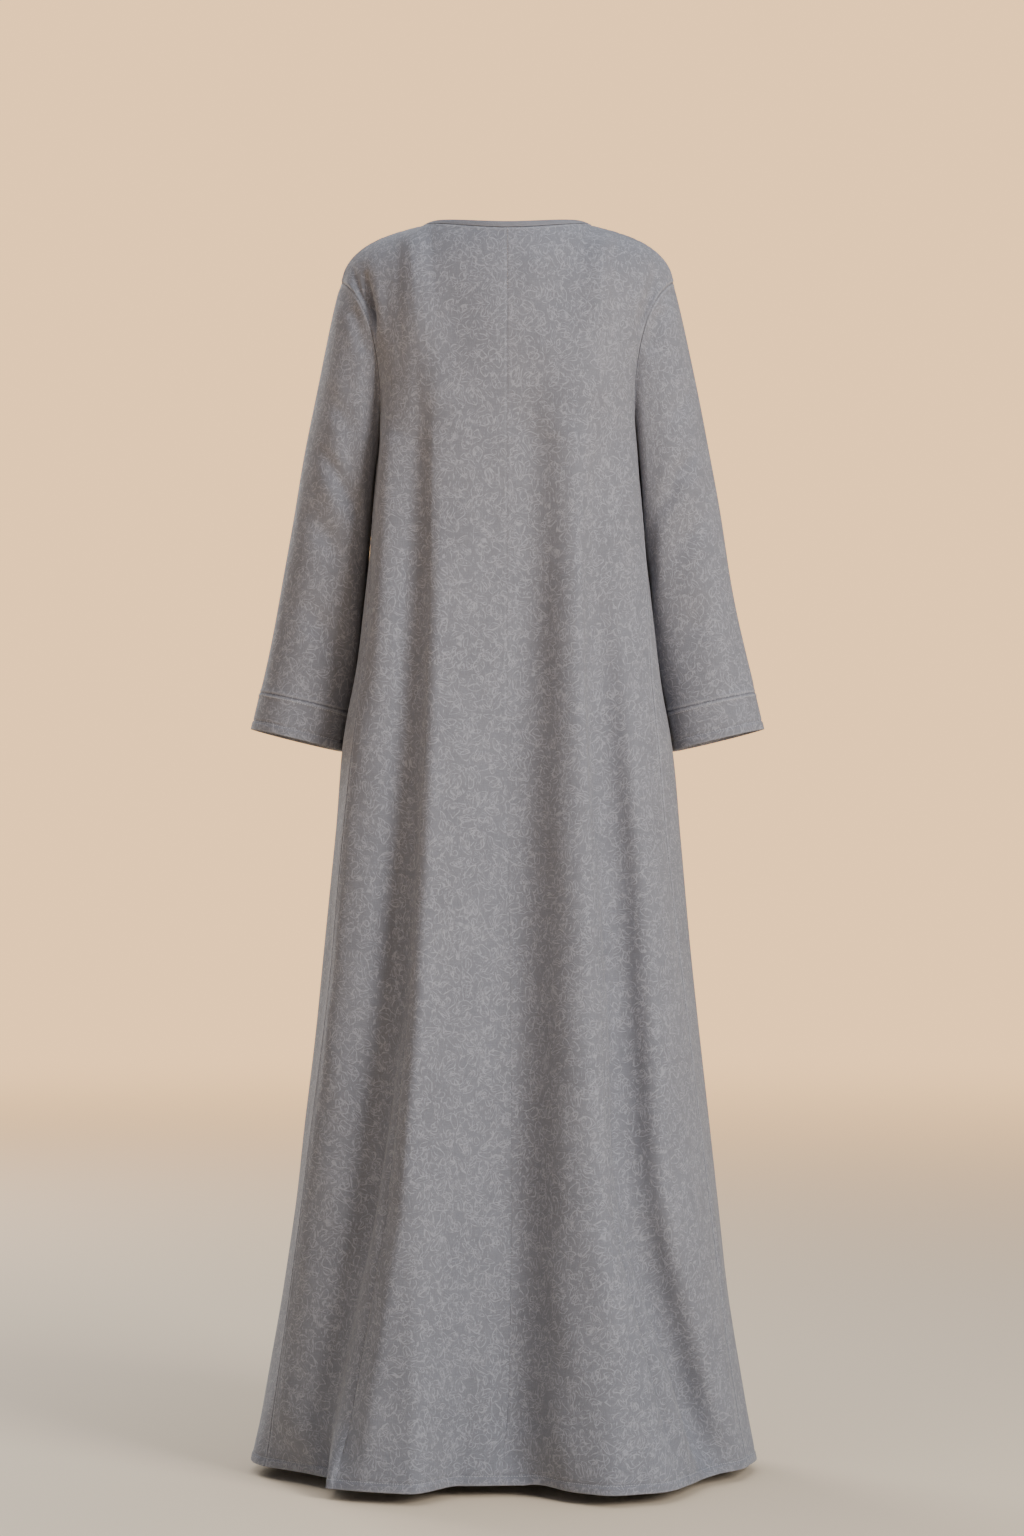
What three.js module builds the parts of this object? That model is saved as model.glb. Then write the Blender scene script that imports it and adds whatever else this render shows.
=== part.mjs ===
// A long prayer dress, worn and hanging: an A-line body cut as two back panels and one front panel,
// two set-in sleeves with deep cuffs, and a narrow band round the neck. Every piece is a thin wall of cloth,
// open at the neck, cuffs and hem. Millimetres, +Z up, +X to the wearer's left, +Y behind the wearer.
// The origin lies midway between the shoulder seams, where the wearer's shoulders carry the dress.
import * as THREE from "three";

// Cloth and seams
const CLOTH = 2;
const BAND_CLOTH = 2.6;
const SEAM_GAP = 0.3;
const HEM_TURN = 10;
const HEM_RISE = 0.6;
const CUFF_RISE = 0.5;

// Heights of the main levels
const NECK_SIDE_Z = 9.7;
const NECK_BACK_Z = -2.5;
const NECK_FRONT_Z = -66;
const UNDERARM_Z = -255;
const HEM_Z = -1469;

// Neckline and shoulder
const NECK_HALF_WIDTH = 99.6;
const NECK_BACK_Y = 76;
const NECK_FRONT_Y = -84;
const NECK_BACK_RISE = 1.8;
const NECK_FRONT_RISE = 1.5;
const NECK_FRONT_ROUNDNESS = 1.15;
const BAND_HEIGHT = 7.6;
const BAND_GAP = 0.5;
const BAND_CROWN = 0.4;
const BAND_LEAN_MIDDLE = 0.3;
const BAND_LEAN_SIDE = 0.96;
const SHOULDER_HALF_WIDTH = 199;
const SHOULDER_SLOPE_DROP = 24;
const SHOULDER_ROUND_DROP = 44;
const SHOULDER_ROUNDNESS = 3.4;
const SHOULDER_TIP_Y = -5;
const SHOULDER_TIP_TURN = 1.36;

// Where the neckline ends and the shoulder seam begins, counted from the centre line (0) to the armhole (1)
const NECK_SHARE = 0.5;

// Sections of the body below the underarm: half its width, how far its back and front reach, the X and Y of
// the line that it is drawn round, and how square its outline is (2 is an ellipse)
const SECTIONS = [
  { z: -255, half: 154, back: 117, front: -138, midX: 0, midY: 10, square: 2.5 },
  { z: -330, half: 160, back: 118, front: -141, midX: 0, midY: 18, square: 2.45 },
  { z: -420, half: 168, back: 120, front: -142, midX: 0, midY: 24, square: 2.4 },
  { z: -520, half: 181, back: 124, front: -143, midX: 0, midY: 26, square: 2.35 },
  { z: -620, half: 197, back: 131, front: -147, midX: 0, midY: 24, square: 2.3 },
  { z: -720, half: 206, back: 138, front: -152, midX: 0, midY: 18, square: 2.25 },
  { z: -820, half: 215.5, back: 145, front: -158, midX: 0, midY: 12, square: 2.2 },
  { z: -920, half: 226, back: 152, front: -165, midX: 0, midY: 8, square: 2.15 },
  { z: -1040, half: 239, back: 160, front: -173, midX: 0.5, midY: 4, square: 2.1 },
  { z: -1160, half: 253, back: 167, front: -182, midX: 1, midY: 1, square: 2.05 },
  { z: -1280, half: 269, back: 174, front: -191, midX: 2.5, midY: -2, square: 2 },
  { z: -1400, half: 289, back: 180, front: -200, midX: 4, midY: -4, square: 1.95 },
  { z: -1469, half: 303, back: 183, front: -205, midX: 4.5, midY: -5, square: 1.9 },
];

// Side seams lie this far behind the widest line, as an angle round the body
const SIDE_SEAM_TURN = [
  { z: -255, turn: 0 },
  { z: -560, turn: 0.3 },
  { z: -1100, turn: 0.3 },
  { z: -1469, turn: 0.2 },
];

// How the upper back and front leave the top edge on their way to the underarm's height. Columns run from the
// centre line (at 0) to the shoulder tip (at 1); out, away and down are the way that the cloth sets off in.
const BACK_DRAPE = [
  { at: 0, out: 0, away: 110, down: 190 },
  { at: 0.25, out: 30, away: 160, down: 130 },
  { at: 0.5, out: 20, away: 310, down: 30 },
  { at: 0.75, out: -60, away: 300, down: 40 },
  { at: 1, out: -100, away: 300, down: 120 },
];
const FRONT_DRAPE = [
  { at: 0, out: 0, away: 70, down: 190 },
  { at: 0.25, out: 20, away: 120, down: 120 },
  { at: 0.5, out: 20, away: 290, down: 30 },
  { at: 0.75, out: -60, away: 300, down: 40 },
  { at: 1, out: -100, away: 300, down: 120 },
];
const UNDERARM_DRAPE = 220;

// How the corner between neckline and shoulder seam is rounded off, and how soon it fades out below them
const CORNER_ROUNDING = 0.24;
const CORNER_SPREAD = 0.34;
const CORNER_SAMPLES = 9;
const CORNER_FADE = 0.22;

// How deep the armhole is cut into the back and front, as a share of their width, how low its deepest place
// is, and how round its foot is
const ARMHOLE_CUT = 0.11;
const ARMHOLE_LOWNESS = 2.2;
const ARMHOLE_ROUNDNESS = 0.8;

// Folds that hang in the body, each a ridge with a table of its sizes by height. x is its crest, wall is the
// width of its side towards +X, flat is how far its top runs on towards -X, ease is the width of its side
// there, and rise is its height. crisp is 0 for a rolled crest and 1 for a sharp one.
const BACK_FOLDS = [
  {
    crisp: 0.9,
    rows: [
      { z: -110, x: 78, wall: 30, flat: 0, ease: 60, rise: 0 },
      { z: -260, x: 84, wall: 30, flat: 0, ease: 76, rise: 8 },
      { z: -440, x: 88, wall: 34, flat: 0, ease: 88, rise: 17 },
      { z: -680, x: 96, wall: 38, flat: 0, ease: 94, rise: 26 },
      { z: -910, x: 108, wall: 46, flat: 2, ease: 96, rise: 36 },
      { z: -1160, x: 136, wall: 48, flat: 30, ease: 86, rise: 45 },
      { z: -1400, x: 170, wall: 58, flat: 70, ease: 56, rise: 52 },
      { z: -1469, x: 184, wall: 26, flat: 84, ease: 48, rise: 56 },
    ],
  },
  {
    crisp: 0,
    rows: [
      { z: -90, x: -74, wall: 54, flat: 0, ease: 50, rise: 0 },
      { z: -260, x: -80, wall: 56, flat: 0, ease: 56, rise: 12 },
      { z: -440, x: -88, wall: 74, flat: 0, ease: 64, rise: 25 },
      { z: -680, x: -98, wall: 98, flat: 0, ease: 76, rise: 38 },
      { z: -910, x: -103, wall: 112, flat: 6, ease: 90, rise: 50 },
      { z: -1160, x: -110, wall: 124, flat: 14, ease: 110, rise: 60 },
      { z: -1400, x: -114, wall: 126, flat: 26, ease: 126, rise: 68 },
      { z: -1469, x: -110, wall: 90, flat: 30, ease: 130, rise: 70 },
    ],
  },
  {
    crisp: 0,
    rows: [
      { z: -150, x: 126, wall: 22, flat: 0, ease: 26, rise: 0 },
      { z: -260, x: 131, wall: 24, flat: 0, ease: 30, rise: 5 },
      { z: -440, x: 142, wall: 26, flat: 0, ease: 36, rise: 9 },
      { z: -680, x: 172, wall: 32, flat: 0, ease: 50, rise: 15 },
      { z: -910, x: 188, wall: 34, flat: 0, ease: 54, rise: 18 },
      { z: -1160, x: 224, wall: 34, flat: 0, ease: 54, rise: 15 },
      { z: -1400, x: 262, wall: 40, flat: 0, ease: 50, rise: 3 },
      { z: -1469, x: 262, wall: 46, flat: 0, ease: 58, rise: -12 },
    ],
  },
  {
    crisp: 0,
    rows: [
      { z: -220, x: -146, wall: 36, flat: 0, ease: 30, rise: 0 },
      { z: -700, x: -168, wall: 40, flat: 0, ease: 36, rise: 7 },
      { z: -1140, x: -216, wall: 46, flat: 0, ease: 44, rise: 12 },
      { z: -1469, x: -268, wall: 60, flat: 0, ease: 36, rise: 6 },
    ],
  },
  {
    crisp: 0,
    rows: [
      { z: -200, x: -108, wall: 30, flat: 0, ease: 30, rise: 0 },
      { z: -440, x: -106, wall: 30, flat: 0, ease: 30, rise: -9 },
      { z: -680, x: -117, wall: 30, flat: 0, ease: 30, rise: -19 },
      { z: -910, x: -129, wall: 30, flat: 0, ease: 32, rise: -27 },
      { z: -1160, x: -143, wall: 32, flat: 0, ease: 34, rise: -28 },
      { z: -1400, x: -205, wall: 38, flat: 0, ease: 40, rise: -24 },
      { z: -1469, x: -236, wall: 44, flat: 0, ease: 44, rise: -5 },
    ],
  },
];
const FRONT_FOLDS = [
  {
    crisp: 0.3,
    rows: [
      { z: -250, x: 66, wall: 56, flat: 0, ease: 60, rise: 0 },
      { z: -700, x: 84, wall: 62, flat: 0, ease: 76, rise: 17 },
      { z: -1469, x: 128, wall: 70, flat: 30, ease: 90, rise: 44 },
    ],
  },
  {
    crisp: 0.1,
    rows: [
      { z: -230, x: -78, wall: 60, flat: 0, ease: 50, rise: 0 },
      { z: -700, x: -86, wall: 72, flat: 4, ease: 60, rise: 18 },
      { z: -1469, x: -112, wall: 70, flat: 26, ease: 84, rise: 48 },
    ],
  },
  {
    crisp: 0,
    rows: [
      { z: -320, x: -150, wall: 40, flat: 0, ease: 30, rise: 0 },
      { z: -900, x: -172, wall: 44, flat: 0, ease: 36, rise: 9 },
      { z: -1469, x: -236, wall: 56, flat: 0, ease: 44, rise: 14 },
    ],
  },
  {
    crisp: 0,
    rows: [
      { z: -340, x: 158, wall: 34, flat: 0, ease: 36, rise: 0 },
      { z: -900, x: 180, wall: 38, flat: 0, ease: 42, rise: 8 },
      { z: -1469, x: 244, wall: 40, flat: 0, ease: 54, rise: 12 },
    ],
  },
];
// How much a sharp crest draws its steep side together, and how near the side the folds fade out
const CREST_SHARPNESS = 0.3;
const SIDE_FADE = 0.3;

// Sleeve and cuff rings: the inner and outer ends of the ring seen from behind, and half its depth
const CUFF_SEAM = { inner: [191, -575], outer: [298.3, -550.6], halfDepth: 50, y: -20 };
const CUFF_EDGE = { inner: [200, -620], outer: [308.6, -593.6], halfDepth: 51, y: -21 };
const CUFF_BACK_TILT = 0.04;
const SLEEVE_OUTER_SQUARE = 1.75;
const SLEEVE_INNER_SQUARE = 2.4;
const SLEEVE_BULGE = 34;
const SLEEVE_CLEARANCE = 3;
const SLEEVE_CLEARING = 30;

// The armhole seam: how nearly in line, as a cosine, its two walls begin to share the seam's slope and share it
// in full, and how far its lower end is turned out
const MITRE_FROM = 0.2;
const MITRE_FULL = 0.7;
const UNDERARM_OPENING = 0.05;

const COLOURS = { cloth: 0x8b8b92, band: 0x85858c };
const ROUGHNESS = 0.86;

const QUARTER = Math.PI / 2;
const clamp = (v, low, high) => Math.min(high, Math.max(low, v));
const mix = (a, b, t) => a + (b - a) * t;
const smooth = (t) => t * t * (3 - 2 * t);

// A value between the rows of a table, on a smooth curve through them; key is the column that orders the rows
function fromTable(rows, key, column, at) {
  const rising = rows[1][key] > rows[0][key];
  const side = rising ? 1 : -1;
  let i = 0;
  while (i < rows.length - 2 && side * at > side * rows[i + 1][key]) i += 1;
  const slopeAt = (k) => {
    const before = rows[Math.max(k - 1, 0)];
    const after = rows[Math.min(k + 1, rows.length - 1)];
    return (after[column] - before[column]) / (after[key] - before[key]);
  };
  const step = rows[i + 1][key] - rows[i][key];
  const t = clamp((at - rows[i][key]) / step, 0, 1);
  return hermite(
    rows[i][column], slopeAt(i) * step,
    rows[i + 1][column], slopeAt(i + 1) * step, t,
  );
}

// The cubic curve from a to b that leaves a along ta and reaches b along tb
function hermite(a, ta, b, tb, t) {
  const t2 = t * t;
  const t3 = t2 * t;
  return (2 * t3 - 3 * t2 + 1) * a + (t3 - 2 * t2 + t) * ta + (3 * t2 - 2 * t3) * b + (t3 - t2) * tb;
}

function hermitePoint(a, ta, b, tb, t) {
  return new THREE.Vector3(
    hermite(a.x, ta.x, b.x, tb.x, t),
    hermite(a.y, ta.y, b.y, tb.y, t),
    hermite(a.z, ta.z, b.z, tb.z, t),
  );
}

// The shape of one side of a fold: 1 at its crest and 0 at its foot
function foldSide(share, crisp) {
  if (share >= 1) return 0;
  return 0.5 + 0.5 * Math.cos(Math.PI * share ** (1 - CREST_SHARPNESS * crisp));
}

// How far a fold lifts the cloth at a place on the back or front
function foldRise(fold, x, z) {
  if (z > fold.rows[0].z) return 0;
  const size = (column) => fromTable(fold.rows, "z", column, z);
  const past = x - size("x");
  if (past >= 0) return size("rise") * foldSide(past / size("wall"), fold.crisp);
  return size("rise") * foldSide(Math.max(-past - size("flat"), 0) / size("ease"), 0);
}

function foldsAt(isBack, x, z) {
  let total = 0;
  for (const fold of isBack ? BACK_FOLDS : FRONT_FOLDS) total += foldRise(fold, x, z);
  return total;
}

// A point of the body below the underarm, without folds: a superellipse drawn round the middle line.
// The angle is 0 at the centre of the back, a quarter turn at the wearer's left side and half a turn in front.
function sectionPoint(angle, z) {
  const size = (column) => fromTable(SECTIONS, "z", column, z);
  const midY = size("midY");
  const reach = Math.cos(angle) >= 0 ? size("back") - midY : midY - size("front");
  const square = size("square");
  const across = Math.abs(Math.sin(angle)) / size("half");
  const along = Math.abs(Math.cos(angle)) / reach;
  const r = (across ** square + along ** square) ** (-1 / square);
  return new THREE.Vector3(size("midX") + r * Math.sin(angle), midY + r * Math.cos(angle), z);
}

function bodyPoint(angle, z) {
  const p = sectionPoint(angle, z);
  const step = 0.01;
  const along = sectionPoint(angle + step, z).sub(sectionPoint(angle - step, z));
  const outward = new THREE.Vector3(-along.y, along.x, 0).normalize();
  if (outward.x * Math.sin(angle) + outward.y * Math.cos(angle) < 0) outward.negate();
  const fade = smooth(clamp(Math.abs(Math.cos(angle)) / SIDE_FADE, 0, 1));
  return p.addScaledVector(outward, foldsAt(Math.cos(angle) >= 0, p.x, z) * fade);
}

// The neckline seam. turn runs from 0 at the centre line to a quarter turn at the shoulder.
function neckPoint(isBack, turn) {
  const side = Math.abs(Math.sin(turn));
  const middle = Math.abs(Math.cos(turn));
  if (isBack) {
    const z = mix(NECK_BACK_Z, NECK_SIDE_Z, side ** NECK_BACK_RISE);
    return new THREE.Vector3(NECK_HALF_WIDTH * Math.sin(turn), NECK_BACK_Y * middle, z);
  }
  const z = mix(NECK_SIDE_Z, NECK_FRONT_Z, middle ** NECK_FRONT_RISE);
  const y = NECK_FRONT_Y * middle ** NECK_FRONT_ROUNDNESS;
  return new THREE.Vector3(NECK_HALF_WIDTH * Math.sin(turn), y, z);
}

// The shoulder seam, from the neck (0) to the sleeve (1): a straight slope that rounds over at the sleeve
function shoulderPoint(share) {
  const w = Math.sin(share * SHOULDER_TIP_TURN) / Math.sin(SHOULDER_TIP_TURN);
  const round = 1 - Math.sqrt(1 - Math.min(w, 1) ** SHOULDER_ROUNDNESS);
  return new THREE.Vector3(
    mix(NECK_HALF_WIDTH, SHOULDER_HALF_WIDTH, w),
    SHOULDER_TIP_Y * w,
    NECK_SIDE_Z - SHOULDER_SLOPE_DROP * w - SHOULDER_ROUND_DROP * round,
  );
}

function topPoint(isBack, column) {
  const at = Math.abs(column);
  const p = at < NECK_SHARE
    ? neckPoint(isBack, (at / NECK_SHARE) * QUARTER)
    : shoulderPoint((at - NECK_SHARE) / (1 - NECK_SHARE));
  p.x *= Math.sign(column) || 1;
  return p;
}

// The top edge with its corner between neckline and shoulder seam rounded off
function softTopPoint(isBack, column) {
  const at = Math.abs(column);
  const reach = CORNER_ROUNDING * Math.max(0, 1 - Math.abs(at - NECK_SHARE) / CORNER_SPREAD);
  const mean = new THREE.Vector3();
  for (let i = 0; i < CORNER_SAMPLES; i += 1) {
    const offset = reach * ((2 * i) / (CORNER_SAMPLES - 1) - 1);
    mean.add(topPoint(isBack, (Math.sign(column) || 1) * (at + offset)));
  }
  return mean.divideScalar(CORNER_SAMPLES);
}

const angleOf = (isBack, column) => (isBack ? column * QUARTER : Math.PI - column * QUARTER);

// The upper body's surface, from the top edge to the underarm's height, as if it ran on round the side
function yokeSurface(isBack, column, down) {
  const at = Math.abs(column);
  const drape = isBack ? BACK_DRAPE : FRONT_DRAPE;
  const away = isBack ? 1 : -1;
  const leave = new THREE.Vector3(
    (Math.sign(column) || 1) * fromTable(drape, "at", "out", at),
    away * fromTable(drape, "at", "away", at),
    -fromTable(drape, "at", "down", at),
  );
  const angle = angleOf(isBack, column);
  const foot = bodyPoint(angle, UNDERARM_Z);
  const step = 4;
  const drop = bodyPoint(angle, UNDERARM_Z - step).sub(foot).multiplyScalar(UNDERARM_DRAPE / step);
  const top = topPoint(isBack, column);
  const softTop = softTopPoint(isBack, column);
  const p = hermitePoint(softTop, leave, foot, drop, down);
  p.addScaledVector(top.sub(softTop), Math.max(0, 1 - down / CORNER_FADE) ** 2);
  p.y += away * (foldsAt(isBack, p.x, p.z) - foldsAt(isBack, foot.x, UNDERARM_Z) * smooth(down));
  return p;
}

// How much of the yoke's surface is left between the centre line and the armhole, 1 where none is cut away
function yokeShare(down) {
  const cut = Math.sin(Math.PI * clamp(down, 0, 1) ** ARMHOLE_LOWNESS);
  return 1 - ARMHOLE_CUT * Math.max(cut, 0) ** ARMHOLE_ROUNDNESS;
}

// A point of the upper body as it is cut: column runs from -1 to 1, from armhole to armhole, and down from 0 at
// the top edge to 1 at the underarm
function yokePoint(isBack, column, down) {
  return yokeSurface(isBack, column * yokeShare(down), down);
}

function sideSeamAngle(z) {
  return QUARTER - fromTable(SIDE_SEAM_TURN, "z", "turn", z);
}

// Any point of the body: down is 0 to 1 above the underarm and 1 to 2 below it
function torsoPoint(isBack, column, down) {
  if (down < 1) return yokePoint(isBack, column, down);
  const z = mix(UNDERARM_Z, HEM_Z, down - 1);
  const side = sideSeamAngle(z);
  const angle = isBack ? column * side : Math.PI - column * (Math.PI - side);
  return bodyPoint(angle, z);
}

// The outward direction of a surface that is given as point(u, v), from its slopes both ways
function outwardAt(point, u, v, uRange, vRange, sign) {
  const step = 2e-3;
  const du = point(Math.min(u + step, uRange[1]), v).sub(point(Math.max(u - step, uRange[0]), v));
  const dv = point(u, Math.min(v + step, vRange[1])).sub(point(u, Math.max(v - step, vRange[0])));
  return du.cross(dv).multiplyScalar(sign).normalize();
}

// A closed wall of cloth between two grids of points, outer and inner, each a list of rows.
// A wall that goes all round has its last column joined to its first.
function clothWall(name, outer, inner, goesRound, colour) {
  const rows = outer.length;
  const columns = outer[0].length;
  const points = [...outer.flat(), ...inner.flat()];
  const layer = rows * columns;
  const index = [];
  const quad = (a, b, c, d) => index.push(a, b, c, a, c, d);
  const at = (r, c) => r * columns + (c % columns);
  const spans = goesRound ? columns : columns - 1;
  const last = columns - 1;
  for (let r = 0; r < rows - 1; r += 1) {
    for (let c = 0; c < spans; c += 1) {
      quad(at(r, c), at(r, c + 1), at(r + 1, c + 1), at(r + 1, c));
      quad(layer + at(r, c), layer + at(r + 1, c), layer + at(r + 1, c + 1), layer + at(r, c + 1));
    }
  }
  for (let c = 0; c < spans; c += 1) {
    quad(at(0, c + 1), at(0, c), layer + at(0, c), layer + at(0, c + 1));
    quad(at(rows - 1, c), at(rows - 1, c + 1), layer + at(rows - 1, c + 1), layer + at(rows - 1, c));
  }
  if (!goesRound) {
    for (let r = 0; r < rows - 1; r += 1) {
      quad(at(r, 0), at(r + 1, 0), layer + at(r + 1, 0), layer + at(r, 0));
      quad(at(r + 1, last), at(r, last), layer + at(r, last), layer + at(r + 1, last));
    }
  }
  // The faces are turned round if they point inwards
  let volume = 0;
  for (let i = 0; i < index.length; i += 3) {
    const [a, b, c] = [points[index[i]], points[index[i + 1]], points[index[i + 2]]];
    volume += a.dot(b.clone().cross(c));
  }
  if (volume < 0) index.reverse();
  const geometry = new THREE.BufferGeometry().setFromPoints(points).setIndex(index);
  geometry.computeVertexNormals();
  const material = new THREE.MeshStandardMaterial({ color: colour, roughness: ROUGHNESS, metalness: 0 });
  const mesh = new THREE.Mesh(geometry, material);
  mesh.name = name;
  return mesh;
}

// Where the rows of a body panel lie: 0 to 1 above the underarm and 1 to 2 below it, down to the turned hem
const YOKE_ROWS = [0, 0.05, 0.11, 0.18, 0.26, 0.35, 0.45, 0.56, 0.67, 0.78, 0.89, 1];
const HEM_ROW = 2 - HEM_TURN / (UNDERARM_Z - HEM_Z);
const HEM_STEP = 0.0006;
const SKIRT_ROWS = [
  1.025, 1.06, 1.11, 1.17, 1.24, 1.31, 1.38, 1.46, 1.54, 1.62, 1.7, 1.78, 1.86, 1.93,
  HEM_ROW - HEM_STEP, HEM_ROW, 2,
];
const BACK_STEPS = 22;
const FRONT_STEPS = 16;
const COLUMN_CROWDING = 0.35;

// The columns of half a panel, from the centre line (0) to the side (1), closer together in the middle
function halfColumns(steps) {
  const columns = [];
  for (let i = 0; i <= steps; i += 1) {
    const crowded = i / steps + (COLUMN_CROWDING * Math.sin((2 * Math.PI * i) / steps)) / (2 * Math.PI);
    columns.push(i === steps ? 1 : i * 2 === steps ? NECK_SHARE : crowded);
  }
  return columns;
}

const LEFT_BACK = halfColumns(BACK_STEPS);
const RIGHT_BACK = LEFT_BACK.map((column) => -column).reverse();
const LEFT_FRONT = halfColumns(FRONT_STEPS);
const WHOLE_FRONT = [...LEFT_FRONT.map((column) => -column).reverse(), ...LEFT_FRONT.slice(1)];

// The edge of the armhole, which the sleeve is set into. turn is 0 at the shoulder tip, a quarter turn behind,
// half a turn at the underarm and three quarters in front.
function armholePoint(turn) {
  const whole = 2 * Math.PI;
  const t = ((turn % whole) + whole) % whole;
  return t <= Math.PI
    ? yokePoint(true, 1, t / Math.PI)
    : yokePoint(false, 1, (whole - t) / Math.PI);
}

// The armhole seam at a turn: the way from the body to the sleeve, and the ways outward of both
// walls, which share one mitre where the seam is nearly flat
function armholeSeam(turn) {
  const step = 1e-3;
  const isBack = turn <= Math.PI;
  const down = isBack ? turn / Math.PI : 2 - turn / Math.PI;
  const face = isBack ? 1 : -1;
  const p = armholePoint(turn);
  const along = armholePoint(turn + step).sub(armholePoint(turn - step)).normalize();
  const across = (v) => v.addScaledVector(along, -v.dot(along)).normalize();
  const surface = (u, v) => yokeSurface(isBack, u, v);
  const bodyOut = outwardAt(surface, yokeShare(down), down, [-2, 2], [0, 1], face);
  if (down === 0) bodyOut.setY(0);
  across(bodyOut);
  const intoBody = bodyOut.clone().cross(along);
  const intoSleeve = across(sleevePoint(turn, 5 * step).sub(p));
  const sleeveOut = intoSleeve.clone().cross(along).normalize();
  const away = across(intoSleeve.sub(intoBody).addScaledVector(bodyOut, UNDERARM_OPENING));
  const mitre = bodyOut.clone().add(sleeveOut).normalize();
  const straightness = (bodyOut.dot(sleeveOut) - MITRE_FROM) / (MITRE_FULL - MITRE_FROM);
  const flatness = smooth(clamp(straightness, 0, 1));
  return {
    away,
    bodyOut: bodyOut.lerp(mitre, flatness).normalize(),
    sleeveOut: sleeveOut.lerp(mitre, flatness).normalize(),
  };
}

// One panel of the body, through its columns, with its cut edges drawn back by half a seam gap
function bodyPanel(name, isBack, columns) {
  const outer = [];
  const inner = [];
  const face = isBack ? 1 : -1;
  for (const down of [...YOKE_ROWS, ...SKIRT_ROWS]) {
    const outerRow = [];
    const innerRow = [];
    for (const column of columns) {
      const range = down < 1 ? [-1, 1] : [-2, 2];
      const p = torsoPoint(isBack, column, down);
      const out = outwardAt((u, v) => torsoPoint(isBack, u, v), column, down, range, [0, 2], face);
      const isHem = down >= HEM_ROW;
      if (isHem) p.addScaledVector(out, HEM_RISE);
      const shift = new THREE.Vector3();
      if (down <= 1 && Math.abs(column) === 1) {
        const seam = armholeSeam(isBack ? down * Math.PI : (2 - down) * Math.PI);
        out.copy(seam.bodyOut);
        shift.copy(seam.away).negate();
        out.x *= Math.sign(column);
        shift.x *= Math.sign(column);
      }
      const isEdge = column === columns[0] || column === columns[columns.length - 1];
      if (isEdge && (down >= 1 || column === 0)) {
        const inwards = column === columns[0] ? 0.01 : -0.01;
        const onSeam = torsoPoint(isBack, column, down);
        shift.add(torsoPoint(isBack, column + inwards, down).sub(onSeam).normalize());
      }
      if (down === 0 && Math.abs(column) >= NECK_SHARE) {
        out.setY(0).normalize();
        shift.y = face;
      }
      p.addScaledVector(shift, SEAM_GAP / 2);
      outerRow.push(p);
      innerRow.push(p.clone().addScaledVector(out, isHem ? -CLOTH - HEM_RISE : -CLOTH));
    }
    outer.push(outerRow);
    inner.push(innerRow);
  }
  return clothWall(name, outer, inner, false, COLOURS.cloth);
}

// A ring round the sleeve, pointed at its outer edge and round at its inner one
function ringPoint(ring, turn) {
  const inner = new THREE.Vector3(ring.inner[0], ring.y, ring.inner[1]);
  const outer = new THREE.Vector3(ring.outer[0], ring.y, ring.outer[1]);
  const centre = inner.clone().add(outer).multiplyScalar(0.5);
  const across = outer.clone().sub(inner).multiplyScalar(0.5);
  const half = across.length();
  const square = mix(SLEEVE_OUTER_SQUARE, SLEEVE_INNER_SQUARE, (1 - Math.cos(turn)) / 2);
  const r = (Math.abs(Math.cos(turn) / half) ** square + Math.abs(Math.sin(turn) / ring.halfDepth) ** square)
    ** (-1 / square);
  const depth = new THREE.Vector3(0, 1, CUFF_BACK_TILT);
  return centre
    .addScaledVector(across.normalize(), r * Math.cos(turn))
    .addScaledVector(depth, r * Math.sin(turn));
}

// Half the body's width at a height and Y, which the sleeve has to clear
function bodyReach(y, z) {
  const size = (column) => fromTable(SECTIONS, "z", column, z);
  const midY = size("midY");
  const reach = y >= midY ? size("back") - midY : midY - size("front");
  const share = clamp(Math.abs(y - midY) / reach, 0, 1);
  return size("half") * (1 - share ** size("square")) ** (1 / size("square"));
}

// A point of the wearer's left sleeve: along is 0 at the armhole and 1 at the cuff seam
function sleevePoint(turn, along) {
  const start = armholePoint(turn);
  const end = ringPoint(CUFF_SEAM, turn);
  const chord = end.clone().sub(start);
  const top = (1 + Math.cos(turn)) / 2;
  const leave = chord.clone().add(new THREE.Vector3(SLEEVE_BULGE * top, SLEEVE_BULGE * Math.sin(turn), 0));
  const cuffLine = ringPoint(CUFF_EDGE, turn).sub(end).normalize();
  const p = hermitePoint(start, leave, end, cuffLine.multiplyScalar(chord.length()), along);
  const clearance = SLEEVE_CLEARANCE * smooth(clamp((UNDERARM_Z - p.z) / SLEEVE_CLEARING, 0, 1));
  p.x = Math.max(p.x, bodyReach(p.y, p.z) + clearance);
  return p;
}

// Turns of the lines that run down a sleeve and cuff, one from each row of the armhole's edge
const SLEEVE_TURNS = [
  ...YOKE_ROWS.map((down) => down * Math.PI),
  ...YOKE_ROWS.slice(1, -1).reverse().map((down) => (2 - down) * Math.PI),
];
const SLEEVE_ROWS = [0, 0.03, 0.07, 0.12, 0.18, 0.25, 0.33, 0.42, 0.52, 0.62, 0.72, 0.82, 0.91, 1];
const CUFF_ROWS = [0, 0.5, 1];

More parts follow.
